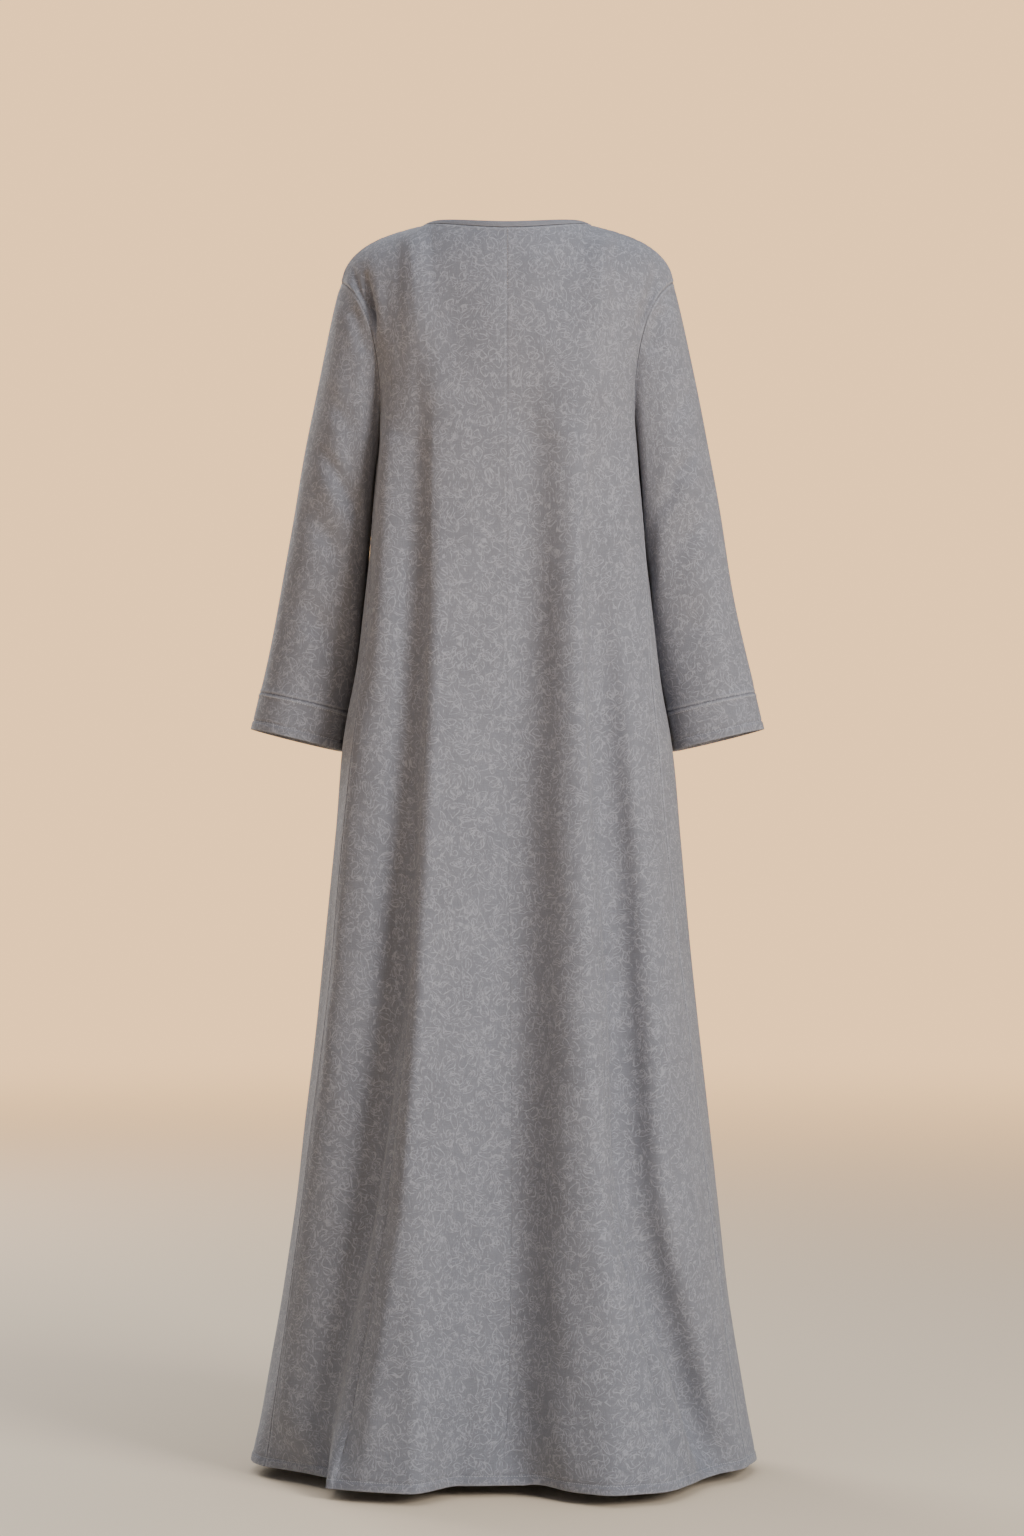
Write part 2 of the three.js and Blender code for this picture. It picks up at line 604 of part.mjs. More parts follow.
// A tube of cloth round the sleeve, from a surface point(turn, along); side is 1 for the wearer's left. Its
// first ring is drawn back by half a seam gap, and so is its last one where it is sewn to a cuff.
function sleeveTube(name, point, rows, side, rise, startsAtArmhole) {
  const outer = [];
  const inner = [];
  for (const along of rows) {
    const outerRow = [];
    const innerRow = [];
    for (const turn of SLEEVE_TURNS) {
      const out = outwardAt(point, turn, along, [-1, 8], [0, 1], -1);
      const p = point(turn, along).addScaledVector(out, rise);
      if (along === 0 && startsAtArmhole) {
        const seam = armholeSeam(turn);
        out.copy(seam.sleeveOut);
        p.addScaledVector(seam.away, SEAM_GAP / 2);
      } else if (along === 0 || (along === 1 && startsAtArmhole)) {
        const cuffWay = CUFF_AXIS.clone().multiplyScalar(along === 0 ? 1 : -1);
        p.addScaledVector(cuffWay, SEAM_GAP / 2);
        out.addScaledVector(CUFF_AXIS, -out.dot(CUFF_AXIS)).normalize();
      }
      const q = p.clone().addScaledVector(out, -CLOTH - rise);
      outerRow.push(new THREE.Vector3(side * p.x, p.y, p.z));
      innerRow.push(new THREE.Vector3(side * q.x, q.y, q.z));
    }
    outer.push(outerRow);
    inner.push(innerRow);
  }
  return clothWall(name, outer, inner, true, COLOURS.cloth);
}

function cuffPoint(turn, along) {
  return ringPoint(CUFF_SEAM, turn).lerp(ringPoint(CUFF_EDGE, turn), along);
}

// The way down the cuff, from the middle of its seam to the middle of its edge
const cuffMiddle = (along) => cuffPoint(0, along).add(cuffPoint(Math.PI, along));
const CUFF_AXIS = cuffMiddle(1).sub(cuffMiddle(0)).normalize();

// The way the neck band stands up from the neckline: upright behind, nearly flat on the shoulder
function bandLean(turn) {
  const side = Math.abs(Math.sin(turn));
  const inward = mix(BAND_LEAN_MIDDLE, BAND_LEAN_SIDE, side ** 2);
  const up = Math.sqrt(1 - inward * inward);
  return new THREE.Vector3(-Math.sin(turn) * inward, -Math.cos(turn) * inward, up);
}

// Turns of the lines that run up the neck band, one from each column of the neckline
const BAND_TURNS = [
  ...[...RIGHT_BACK.slice(0, -1), ...LEFT_BACK].filter((column) => Math.abs(column) <= NECK_SHARE)
    .map((column) => (column / NECK_SHARE) * QUARTER),
  ...WHOLE_FRONT.filter((column) => Math.abs(column) < NECK_SHARE).reverse()
    .map((column) => Math.PI - (column / NECK_SHARE) * QUARTER),
];
const BAND_ROWS = [
  { height: BAND_GAP, crown: 0 },
  { height: BAND_HEIGHT / 2, crown: BAND_CROWN },
  { height: BAND_HEIGHT, crown: 0 },
];

function neckBand() {
  const outer = [];
  const inner = [];
  const seam = (turn) => neckPoint(Math.cos(turn) >= 0, turn);
  for (const row of BAND_ROWS) {
    const outerRow = [];
    const innerRow = [];
    for (const turn of BAND_TURNS) {
      const lean = bandLean(turn);
      const along = seam(turn + 0.01).sub(seam(turn - 0.01)).normalize();
      const out = along.cross(lean).normalize();
      if (out.x * Math.sin(turn) + out.y * Math.cos(turn) + out.z < 0) out.negate();
      const p = seam(turn).addScaledVector(lean, row.height).addScaledVector(out, row.crown);
      outerRow.push(p);
      innerRow.push(p.clone().addScaledVector(out, -BAND_CLOTH));
    }
    outer.push(outerRow);
    inner.push(innerRow);
  }
  return clothWall("neck_band", outer, inner, true, COLOURS.band);
}

const dress = new THREE.Group();
dress.add(bodyPanel("back_left", true, LEFT_BACK));
dress.add(bodyPanel("back_right", true, RIGHT_BACK));
dress.add(bodyPanel("front", false, WHOLE_FRONT));
for (const [name, side] of [["left", 1], ["right", -1]]) {
  dress.add(sleeveTube(`sleeve_${name}`, sleevePoint, SLEEVE_ROWS, side, 0, true));
  dress.add(sleeveTube(`cuff_${name}`, cuffPoint, CUFF_ROWS, side, CUFF_RISE, false));
}
dress.add(neckBand());

export default dress;
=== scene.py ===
# %% [markdown]
# # A long prayer dress, hanging as it is worn
# The dress is cut from woven cloth: two back panels, one front panel, two set-in sleeves with deep cuffs and
# a narrow band round the neck. Here each panel becomes a thin shell of cloth with its folds, seams, turned
# hems and stitches. It stands in the frame that is loaded first, at the size and place of the solids there.
# The folds and the small creases are laid as they fall on the dress.

# %% Open the frame
import math
import bpy
import numpy as np
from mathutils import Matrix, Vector


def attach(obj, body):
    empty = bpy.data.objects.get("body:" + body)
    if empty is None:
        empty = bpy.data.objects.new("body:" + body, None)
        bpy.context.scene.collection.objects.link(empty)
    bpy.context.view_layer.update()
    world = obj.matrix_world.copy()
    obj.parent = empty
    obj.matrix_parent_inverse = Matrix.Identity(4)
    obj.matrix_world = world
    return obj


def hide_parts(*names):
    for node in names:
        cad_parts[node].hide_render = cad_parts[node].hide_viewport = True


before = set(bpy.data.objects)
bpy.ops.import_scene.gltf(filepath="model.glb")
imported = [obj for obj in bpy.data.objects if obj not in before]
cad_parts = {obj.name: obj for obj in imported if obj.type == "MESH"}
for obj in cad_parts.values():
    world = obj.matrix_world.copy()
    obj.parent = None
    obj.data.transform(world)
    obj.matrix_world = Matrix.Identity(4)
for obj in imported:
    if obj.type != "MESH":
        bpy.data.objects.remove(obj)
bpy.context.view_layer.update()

print("solids to dress:", ", ".join(sorted(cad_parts)))

# %% [markdown]
# ## The camera first
# The dress is seen from behind by a level camera, a little below the middle of its height. The camera stands
# on the +Y side and looks along -Y, so the wearer's left is on the left of the picture.

# %% Camera
MM = 0.001
CAMERA_X = -5.4
CAMERA_Y = 4608
CAMERA_Z = -641
LENS = 90
SENSOR = 36

camera_data = bpy.data.cameras.new("camera")
camera_data.lens = LENS
camera_data.sensor_width = SENSOR
camera_data.clip_start = 0.1
camera_data.clip_end = 60
camera = bpy.data.objects.new("camera", camera_data)
camera.location = (CAMERA_X * MM, CAMERA_Y * MM, CAMERA_Z * MM)
camera.rotation_euler = (math.pi / 2, 0, math.pi)
bpy.context.collection.objects.link(camera)
bpy.context.scene.camera = camera
print("camera", round(camera.location.y, 3), "m behind the dress")

# %% [markdown]
# ## Tables and smooth curves
# A pattern cutter notes a few sizes and draws a smooth line through them. A table here does the same: it has
# named columns, and a value between two rows lies on a smooth curve through them. Everything is worked out
# for whole grids of points at once, in millimetres.

# %% Helpers for tables and grids
def table(columns, rows):
    """A table with named columns, from rows of numbers."""
    return dict(zip(columns.split(), np.array(rows, float).T))


def hermite(a, ta, b, tb, t):
    """The cubic curve that leaves a along ta and reaches b along tb, at the share t of its way."""
    t2, t3 = t * t, t * t * t
    return (2 * t3 - 3 * t2 + 1) * a + (t3 - 2 * t2 + t) * ta + (3 * t2 - 2 * t3) * b + (t3 - t2) * tb


def read(tab, key, column, at):
    """A column's value at a place: the cubic curve through the rows, sloped as between their neighbours."""
    x, y = tab[key], tab[column]
    if x[0] > x[-1]:
        x, y = x[::-1], y[::-1]
    last = len(x) - 1
    before = np.clip(np.arange(len(x)) - 1, 0, last)
    after = np.clip(np.arange(len(x)) + 1, 0, last)
    slope = (y[after] - y[before]) / (x[after] - x[before])
    i = np.clip(np.searchsorted(x, at, side="right") - 1, 0, last - 1)
    step = x[i + 1] - x[i]
    t = np.clip((at - x[i]) / step, 0, 1)
    return hermite(y[i], slope[i] * step, y[i + 1], slope[i + 1] * step, t)


def mix(a, b, t):
    return a + (b - a) * t


def smooth(t):
    """0 to 1 with a soft start and end: 3t squared less 2t cubed, where t is kept from 0 to 1."""
    t = np.clip(t, 0, 1)
    return t * t * (3 - 2 * t)


def bell(distance, width):
    """1 in the middle and nearly 0 at twice the width: e to the power of minus the square of their ratio."""
    return np.exp(-((distance / width) ** 2))


def xyz(x, y, z):
    return np.stack(np.broadcast_arrays(x, y, z), -1).astype(float)


def unit(v):
    return v / np.maximum(np.linalg.norm(v, axis=-1, keepdims=True), 1e-12)


def grid_normals(p):
    """The way out of a grid of points: the cross product of its slopes along and across."""
    return unit(np.cross(np.gradient(p, axis=1), np.gradient(p, axis=0)))


def run_length(p, axis):
    """The distance run along one axis of a grid, from its first row or column."""
    steps = np.linalg.norm(np.diff(p, axis=axis), axis=-1)
    first = np.zeros_like(np.take(steps, [0], axis=axis))
    return np.cumsum(np.concatenate([first, steps], axis), axis)


# %% [markdown]
# ## The cut of the body
# Below the underarm the body is a wide A-line skirt. Each level is a rounded outline, nearly an ellipse.
# Above it, the cloth runs from the neckline and the shoulder seams down to the underarm. The sizes that a
# cutter would note stand first, and a small table gives the outline's width and depth at each level.

# %% Sizes of the body
NECK_SIDE_Z = 9.7
NECK_BACK_Z = -2.5
NECK_FRONT_Z = -66
UNDERARM_Z = -255
HEM_Z = -1469
NECK_HALF_WIDTH = 99.6
NECK_BACK_Y = 76
NECK_FRONT_Y = -84
NECK_BACK_RISE = 1.8
NECK_FRONT_RISE = 1.5
NECK_FRONT_ROUNDNESS = 1.15
SHOULDER_HALF_WIDTH = 199
SHOULDER_SLOPE_DROP = 24
SHOULDER_ROUND_DROP = 44
SHOULDER_ROUNDNESS = 3.4
SHOULDER_TIP_Y = -5
SHOULDER_TIP_TURN = 1.36
NECK_SHARE = 0.5
QUARTER = math.pi / 2
ANGLE_STEP = 0.01

SECTIONS = table("z half back front mid_x mid_y square", [
    (-255, 154, 117, -138, 0, 10, 2.5),
    (-330, 160, 118, -141, 0, 18, 2.45),
    (-420, 168, 120, -142, 0, 24, 2.4),
    (-520, 181, 124, -143, 0, 26, 2.35),
    (-620, 197, 131, -147, 0, 24, 2.3),
    (-720, 206, 138, -152, 0, 18, 2.25),
    (-820, 215.5, 145, -158, 0, 12, 2.2),
    (-920, 226, 152, -165, 0, 8, 2.15),
    (-1040, 239, 160, -173, 0.5, 4, 2.1),
    (-1160, 253, 167, -182, 1, 1, 2.05),
    (-1280, 269, 174, -191, 2.5, -2, 2),
    (-1400, 289, 180, -200, 4, -4, 1.95),
    (-1469, 303, 183, -205, 4.5, -5, 1.9),
])
SIDE_SEAM = table("z turn", [(-255, 0), (-560, 0.3), (-1100, 0.3), (-1469, 0.2)])
BACK_DRAPE = table("at out away down", [
    (0, 0, 110, 190), (0.25, 30, 160, 130), (0.5, 20, 310, 30), (0.75, -60, 300, 40), (1, -100, 300, 120),
])
FRONT_DRAPE = table("at out away down", [
    (0, 0, 70, 190), (0.25, 20, 120, 120), (0.5, 20, 290, 30), (0.75, -60, 300, 40), (1, -100, 300, 120),
])
UNDERARM_DRAPE = 220
CORNER_ROUNDING = 0.24
CORNER_SPREAD = 0.34
CORNER_SAMPLES = 9
CORNER_FADE = 0.22
ARMHOLE_CUT = 0.11
ARMHOLE_LOWNESS = 2.2
ARMHOLE_ROUNDNESS = 0.8

# %% [markdown]
# ## The large folds
# A fold's crest runs down the cloth at x. Its side towards the wearer's left is `wall` wide, its top runs on
# for `flat`, and the other side eases down over `ease`. A crisp crest makes a steep wall that catches a hard
# shadow, as on the longest fold of the back.

# %% Tables of the folds
FOLD_COLUMNS = "z x wall flat ease rise"
BACK_FOLDS = [
    (0.9, table(FOLD_COLUMNS, [
        (-110, 78, 30, 0, 60, 0),
        (-260, 84, 30, 0, 76, 8),
        (-440, 88, 34, 0, 88, 17),
        (-680, 96, 38, 0, 94, 26),
        (-910, 108, 46, 2, 96, 36),
        (-1160, 136, 48, 30, 86, 45),
        (-1400, 170, 58, 70, 56, 52),
        (-1469, 184, 26, 84, 48, 56),
    ])),
    (0, table(FOLD_COLUMNS, [
        (-90, -74, 54, 0, 50, 0),
        (-260, -80, 56, 0, 56, 12),
        (-440, -88, 74, 0, 64, 25),
        (-680, -98, 98, 0, 76, 38),
        (-910, -103, 112, 6, 90, 50),
        (-1160, -110, 124, 14, 110, 60),
        (-1400, -114, 126, 26, 126, 68),
        (-1469, -110, 90, 30, 130, 70),
    ])),
    (0, table(FOLD_COLUMNS, [
        (-150, 126, 22, 0, 26, 0),
        (-260, 131, 24, 0, 30, 5),
        (-440, 142, 26, 0, 36, 9),
        (-680, 172, 32, 0, 50, 15),
        (-910, 188, 34, 0, 54, 18),
        (-1160, 224, 34, 0, 54, 15),
        (-1400, 262, 40, 0, 50, 3),
        (-1469, 262, 46, 0, 58, -12),
    ])),
    (0, table(FOLD_COLUMNS, [
        (-220, -146, 36, 0, 30, 0),
        (-700, -168, 40, 0, 36, 7),
        (-1140, -216, 46, 0, 44, 12),
        (-1469, -268, 60, 0, 36, 6),
    ])),
    (0, table(FOLD_COLUMNS, [
        (-200, -108, 30, 0, 30, 0),
        (-440, -106, 30, 0, 30, -9),
        (-680, -117, 30, 0, 30, -19),
        (-910, -129, 30, 0, 32, -27),
        (-1160, -143, 32, 0, 34, -28),
        (-1400, -205, 38, 0, 40, -24),
        (-1469, -236, 44, 0, 44, -5),
    ])),
]
FRONT_FOLDS = [
    (0.3, table(FOLD_COLUMNS, [
        (-250, 66, 56, 0, 60, 0), (-700, 84, 62, 0, 76, 17), (-1469, 128, 70, 30, 90, 44),
    ])),
    (0.1, table(FOLD_COLUMNS, [
        (-230, -78, 60, 0, 50, 0), (-700, -86, 72, 4, 60, 18), (-1469, -112, 70, 26, 84, 48),
    ])),
    (0, table(FOLD_COLUMNS, [
        (-320, -150, 40, 0, 30, 0), (-900, -172, 44, 0, 36, 9), (-1469, -236, 56, 0, 44, 14),
    ])),
    (0, table(FOLD_COLUMNS, [
        (-340, 158, 34, 0, 36, 0), (-900, 180, 38, 0, 42, 8), (-1469, 244, 40, 0, 54, 12),
    ])),
]
CREST_SHARPNESS = 0.3
SIDE_FADE = 0.3


def fold_side(share, crisp):
    """One side of a fold: a half cosine wave from 1 at its crest to 0 at its foot, steeper if it is crisp."""
    wave = 0.5 + 0.5 * np.cos(math.pi * np.clip(share, 0, 1) ** (1 - CREST_SHARPNESS * crisp))
    return np.where(share >= 1, 0, wave)


def folds_at(is_back, x, z):
    """How far the folds lift the cloth at x and z: each fold's rise times the shape of its side, summed."""
    total = np.zeros(np.broadcast(x, z).shape)
    for crisp, rows in BACK_FOLDS if is_back else FRONT_FOLDS:
        past = x - read(rows, "z", "x", z)
        near = fold_side(past / read(rows, "z", "wall", z), crisp)
        far = fold_side(np.maximum(-past - read(rows, "z", "flat", z), 0) / read(rows, "z", "ease", z), 0)
        lift = read(rows, "z", "rise", z) * np.where(past >= 0, near, far)
        total += np.where(z > rows["z"][0], 0, lift)
    return total


# %% [markdown]
# ## The surface of the body
# The tables give a place for any angle and level of the skirt. The upper body is a smooth curve from the top
# edge down to the skirt, with the same folds pushed out of it, so that a fold runs on without a break.

# %% Surfaces of the body
def section_point(angle, z):
    """A level of the body: the point at an angle on an outline whose across and along shares, each raised to
    the power `square`, add up to one."""
    mid_y = read(SECTIONS, "z", "mid_y", z)
    behind = read(SECTIONS, "z", "back", z) - mid_y
    before = mid_y - read(SECTIONS, "z", "front", z)
    square = read(SECTIONS, "z", "square", z)
    across = np.abs(np.sin(angle)) / read(SECTIONS, "z", "half", z)
    along = np.abs(np.cos(angle)) / np.where(np.cos(angle) >= 0, behind, before)
    r = (across ** square + along ** square) ** (-1 / square)
    return xyz(read(SECTIONS, "z", "mid_x", z) + r * np.sin(angle), mid_y + r * np.cos(angle), z)


def body_point(angle, z):
    """A level of the body with its folds, which stand out along the level's own outward direction. The back's
    folds count behind the wearer's side and the front's before it, on whichever panel the cloth is."""
    p = section_point(angle, z)
    along = section_point(angle + ANGLE_STEP, z) - section_point(angle - ANGLE_STEP, z)
    outward = unit(xyz(-along[..., 1], along[..., 0], 0))
    flip = outward[..., 0] * np.sin(angle) + outward[..., 1] * np.cos(angle) < 0
    outward = np.where(flip[..., None], -outward, outward)
    fade = smooth(np.abs(np.cos(angle)) / SIDE_FADE)
    behind, before = folds_at(True, p[..., 0], z), folds_at(False, p[..., 0], z)
    return p + outward * (np.where(np.cos(angle) >= 0, behind, before) * fade)[..., None]


def neck_point(is_back, turn):
    """The neckline seam: an oval seen from above, which dips towards the middle of the back and the front."""
    side, middle = np.abs(np.sin(turn)), np.abs(np.cos(turn))
    x = NECK_HALF_WIDTH * np.sin(turn)
    if is_back:
        return xyz(x, NECK_BACK_Y * middle, mix(NECK_BACK_Z, NECK_SIDE_Z, side ** NECK_BACK_RISE))
    z = mix(NECK_SIDE_Z, NECK_FRONT_Z, middle ** NECK_FRONT_RISE)
    return xyz(x, NECK_FRONT_Y * middle ** NECK_FRONT_ROUNDNESS, z)


def shoulder_point(share):
    """The shoulder seam: a straight slope outwards that rounds over at the sleeve."""
    w = np.sin(share * SHOULDER_TIP_TURN) / math.sin(SHOULDER_TIP_TURN)
    over = 1 - np.sqrt(np.maximum(1 - np.clip(w, 0, 1) ** SHOULDER_ROUNDNESS, 0))
    z = NECK_SIDE_Z - SHOULDER_SLOPE_DROP * w - SHOULDER_ROUND_DROP * over
    return xyz(mix(NECK_HALF_WIDTH, SHOULDER_HALF_WIDTH, w), SHOULDER_TIP_Y * w, z)


def top_point(is_back, column):
    """The top edge of a panel: the neckline up to NECK_SHARE of its columns, then the shoulder seam."""
    at = np.abs(column)
    neck = neck_point(is_back, np.clip(at / NECK_SHARE, 0, 1) * QUARTER)
    shoulder = shoulder_point(np.clip((at - NECK_SHARE) / (1 - NECK_SHARE), 0, 2))
    p = np.where((at < NECK_SHARE)[..., None], neck, shoulder)
    return p * xyz(np.where(column < 0, -1, 1), 1, 1)


def soft_top_point(is_back, column):
    """The top edge with the corner at the neck rounded off: the mean of samples on both sides of a place."""
    at = np.abs(column)
    reach = CORNER_ROUNDING * np.maximum(0, 1 - np.abs(at - NECK_SHARE) / CORNER_SPREAD)
    side = np.where(column < 0, -1, 1)
    shares = np.linspace(-1, 1, CORNER_SAMPLES)
    return sum(top_point(is_back, side * (at + reach * share)) for share in shares) / CORNER_SAMPLES


def angle_of(is_back, column):
    return column * QUARTER if is_back else math.pi - column * QUARTER


def yoke_surface(is_back, column, down):
    """The upper body: a cubic curve from the top edge to the underarm's level, its folds pushed out."""
    at = np.abs(column)
    drape = BACK_DRAPE if is_back else FRONT_DRAPE
    face = 1 if is_back else -1
    leave = xyz(
        np.where(column < 0, -1, 1) * read(drape, "at", "out", at),
        face * read(drape, "at", "away", at),
        -read(drape, "at", "down", at),
    )
    angle = angle_of(is_back, column)
    foot = body_point(angle, np.full_like(angle, UNDERARM_Z))
    step = 4
    drop = (body_point(angle, np.full_like(angle, UNDERARM_Z - step)) - foot) * UNDERARM_DRAPE / step
    top, soft_top = top_point(is_back, column), soft_top_point(is_back, column)
    t = down[..., None]
    p = hermite(soft_top, leave, foot, drop, t)
    p += (top - soft_top) * np.maximum(0, 1 - t / CORNER_FADE) ** 2
    kept = folds_at(is_back, foot[..., 0], foot[..., 2]) * smooth(down)
    p[..., 1] += face * (folds_at(is_back, p[..., 0], p[..., 2]) - kept)
    return p


def yoke_share(down):
    """How much of the yoke is left between the centre line and the armhole: one less a bent sine wave."""
    cut = np.sin(math.pi * np.clip(down, 0, 1) ** ARMHOLE_LOWNESS)
    return 1 - ARMHOLE_CUT * np.maximum(cut, 0) ** ARMHOLE_ROUNDNESS


def yoke_point(is_back, column, down):
    return yoke_surface(is_back, column * yoke_share(down), down)


def torso_point(is_back, column, down):
    """Any point of the body: down is 0 to 1 from the top edge to the underarm and 1 to 2 from there to the
    hem, and column is -1 to 1 from one side to the other."""
    column, down = np.broadcast_arrays(column.astype(float), down.astype(float))
    upper = yoke_point(is_back, column, np.clip(down, 0, 1))
    z = mix(UNDERARM_Z, HEM_Z, np.clip(down - 1, 0, 1))
    side = QUARTER - read(SIDE_SEAM, "z", "turn", z)
    angle = column * side if is_back else math.pi - column * (math.pi - side)
    return np.where((down < 1)[..., None], upper, body_point(angle, z))


# %% [markdown]
# ## The sleeves
# A set-in sleeve is a tube. Its first ring is the edge of the armhole, its last ring is sewn to the cuff,
# and the cloth between them follows smooth curves. The sleeve hangs beside the skirt, so the tube leans
# out and is kept just clear of it.

# %% Surfaces of the sleeves and cuffs
CUFF_SEAM = dict(inner=(191, -575), outer=(298.3, -550.6), half_depth=50, y=-20)
CUFF_EDGE = dict(inner=(200, -620), outer=(308.6, -593.6), half_depth=51, y=-21)
CUFF_BACK_TILT = 0.04
SLEEVE_OUTER_SQUARE = 1.75
SLEEVE_INNER_SQUARE = 2.4
SLEEVE_BULGE = 34
SLEEVE_CLEARANCE = 3
SLEEVE_CLEARING = 30


def armhole_point(turn):
    """The armhole's edge: turn 0 is the shoulder tip, a quarter is behind and half a turn is the underarm."""
    t = np.mod(turn, 2 * math.pi)
    one = np.ones_like(t)
    behind = yoke_point(True, one, np.clip(t / math.pi, 0, 1))
    before = yoke_point(False, one, np.clip((2 * math.pi - t) / math.pi, 0, 1))
    return np.where((t <= math.pi)[..., None], behind, before)


def ring_point(ring, turn):
    """A ring round the sleeve: an oval that is pointed at its outer edge and round at its inner one."""
    inner = np.array([ring["inner"][0], ring["y"], ring["inner"][1]], float)
    outer = np.array([ring["outer"][0], ring["y"], ring["outer"][1]], float)
    centre, across = (inner + outer) / 2, (outer - inner) / 2
    half = np.linalg.norm(across)
    square = mix(SLEEVE_OUTER_SQUARE, SLEEVE_INNER_SQUARE, (1 - np.cos(turn)) / 2)
    r = (np.abs(np.cos(turn) / half) ** square + np.abs(np.sin(turn) / ring["half_depth"]) ** square)
    r = r ** (-1 / square)
    depth = np.array([0, 1, CUFF_BACK_TILT])
    return centre + across / half * (r * np.cos(turn))[..., None] + depth * (r * np.sin(turn))[..., None]


def body_reach(y, z):
    """Half the body's width at a height and depth, which the sleeve has to clear."""
    mid_y = read(SECTIONS, "z", "mid_y", z)
    behind = read(SECTIONS, "z", "back", z) - mid_y
    before = mid_y - read(SECTIONS, "z", "front", z)
    share = np.clip(np.abs(y - mid_y) / np.where(y >= mid_y, behind, before), 0, 1)
    square = read(SECTIONS, "z", "square", z)
    return read(SECTIONS, "z", "half", z) * (1 - share ** square) ** (1 / square)


def sleeve_point(turn, along):
    """The wearer's left sleeve: the cubic curve from the armhole to the cuff seam at each turn, bulged a
    little at the top and pushed out where it would touch the body."""
    start, end = armhole_point(turn), ring_point(CUFF_SEAM, turn)
    chord = end - start
    top = (1 + np.cos(turn)) / 2
    leave = chord + xyz(SLEEVE_BULGE * top, SLEEVE_BULGE * np.sin(turn), 0)
    cuff_line = unit(ring_point(CUFF_EDGE, turn) - end) * np.linalg.norm(chord, axis=-1, keepdims=True)
    p = hermite(start, leave, end, cuff_line, along[..., None])
    clear = SLEEVE_CLEARANCE * smooth((UNDERARM_Z - p[..., 2]) / SLEEVE_CLEARING)
    p[..., 0] = np.maximum(p[..., 0], body_reach(p[..., 1], p[..., 2]) + clear)
    return p


def cuff_point(turn, along):
    return mix(ring_point(CUFF_SEAM, turn), ring_point(CUFF_EDGE, turn), along[..., None])


# %% [markdown]
# ## Small folds, laid one by one
# Cloth that hangs from shoulder seams and down a sleeve creases in a few known places. Each crease is a path
# seen from behind or from the front, with a width and a height at each of its points: below zero it is a
# trough and above zero a ridge. It fades out at its ends and where the cloth turns away.

# %% Creases
BACK, FRONT = 1, -1
TURN_AWAY = 0.5


def crease_lift(p, normals, facing, path):
    """The lift of one crease: its height at the nearest place on its path, times a bell of the distance."""
    path = np.array(path, float)
    x, z = p[..., 0], p[..., 2]
    nearest = np.full(x.shape, np.inf)
    width = np.ones(x.shape)
    height = np.zeros(x.shape)
    for a, b in zip(path[:-1], path[1:]):
        run = b[:2] - a[:2]
        t = np.clip(((x - a[0]) * run[0] + (z - a[1]) * run[1]) / (run @ run), 0, 1)
        distance = np.hypot(x - a[0] - t * run[0], z - a[1] - t * run[1])
        closer = distance < nearest
        nearest = np.where(closer, distance, nearest)
        width = np.where(closer, mix(a[2], b[2], t), width)
        height = np.where(closer, mix(a[3], b[3], t), height)
    return height * bell(nearest, width) * smooth(facing * normals[..., 1] / TURN_AWAY)


# Each crease is a side and a path of places: x, z, width and height
LONG_CREASES = [
    (BACK, [(98, -200, 12, 0), (100, -260, 14, -3), (106, -440, 18, -8), (118, -680, 19, -13),
            (134, -917, 21, -21), (158, -1157, 25, -26), (197, -1396, 27, -19), (206, -1469, 26, -5)]),
    (BACK, [(78, -300, 9, 0), (82, -440, 9, 2), (89, -680, 10, 3.5), (101, -917, 12, 4.5),
            (124, -1157, 13, 5), (160, -1396, 16, 4), (170, -1469, 14, 0)]),
    (BACK, [(-34, -150, 24, 0), (-34, -260, 26, -6), (-27, -440, 30, -11), (-19, -680, 34, -16),
            (-15, -917, 36, -19), (-11, -1157, 38, -21), (-10, -1396, 38, -19), (-14, -1469, 34, -12)]),
    (BACK, [(20, -300, 44, 0), (26, -680, 48, -4), (34, -1157, 52, -6), (40, -1469, 50, -6)]),
    (BACK, [(-102, -200, 14, 0), (-103, -300, 15, -6), (-105, -438, 17, -12), (-116, -680, 20, -17),
            (-126, -917, 23, -21), (-141, -1157, 25, -24), (-206, -1396, 29, -21), (-226, -1469, 28, -8)]),
    (BACK, [(-146, -440, 16, 0), (-158, -680, 20, 5), (-178, -917, 22, 7), (-206, -1157, 24, 7),
            (-250, -1396, 24, 4), (-262, -1469, 20, 0)]),
    (BACK, [(140, -190, 12, 0), (141, -260, 13, 5), (146, -440, 14, 6), (156, -560, 16, 3),
            (166, -640, 18, 0)]),
    (BACK, [(120, -30, 26, 0), (108, -110, 28, 1.4), (100, -210, 30, 1.4), (96, -330, 26, 0)]),
    (BACK, [(-110, -30, 26, 0), (-104, -120, 26, 1.4), (-100, -230, 30, 1.4), (-98, -350, 26, 0)]),
    (FRONT, [(12, -260, 36, 0), (4, -600, 40, -8), (-6, -1000, 44, -14), (-4, -1469, 46, -13)]),
    (FRONT, [(118, -300, 18, 0), (126, -640, 22, -8), (146, -1000, 26, -13), (186, -1469, 30, -9)]),
    (FRONT, [(-112, -280, 18, 0), (-122, -600, 20, -8), (-142, -960, 24, -13), (-182, -1469, 30, -9)]),
    (FRONT, [(44, -700, 18, 0), (50, -1000, 20, 4), (60, -1469, 22, 5)]),
    (FRONT, [(-52, -520, 16, 0), (-58, -900, 18, 4), (-66, -1469, 20, 4)]),
]
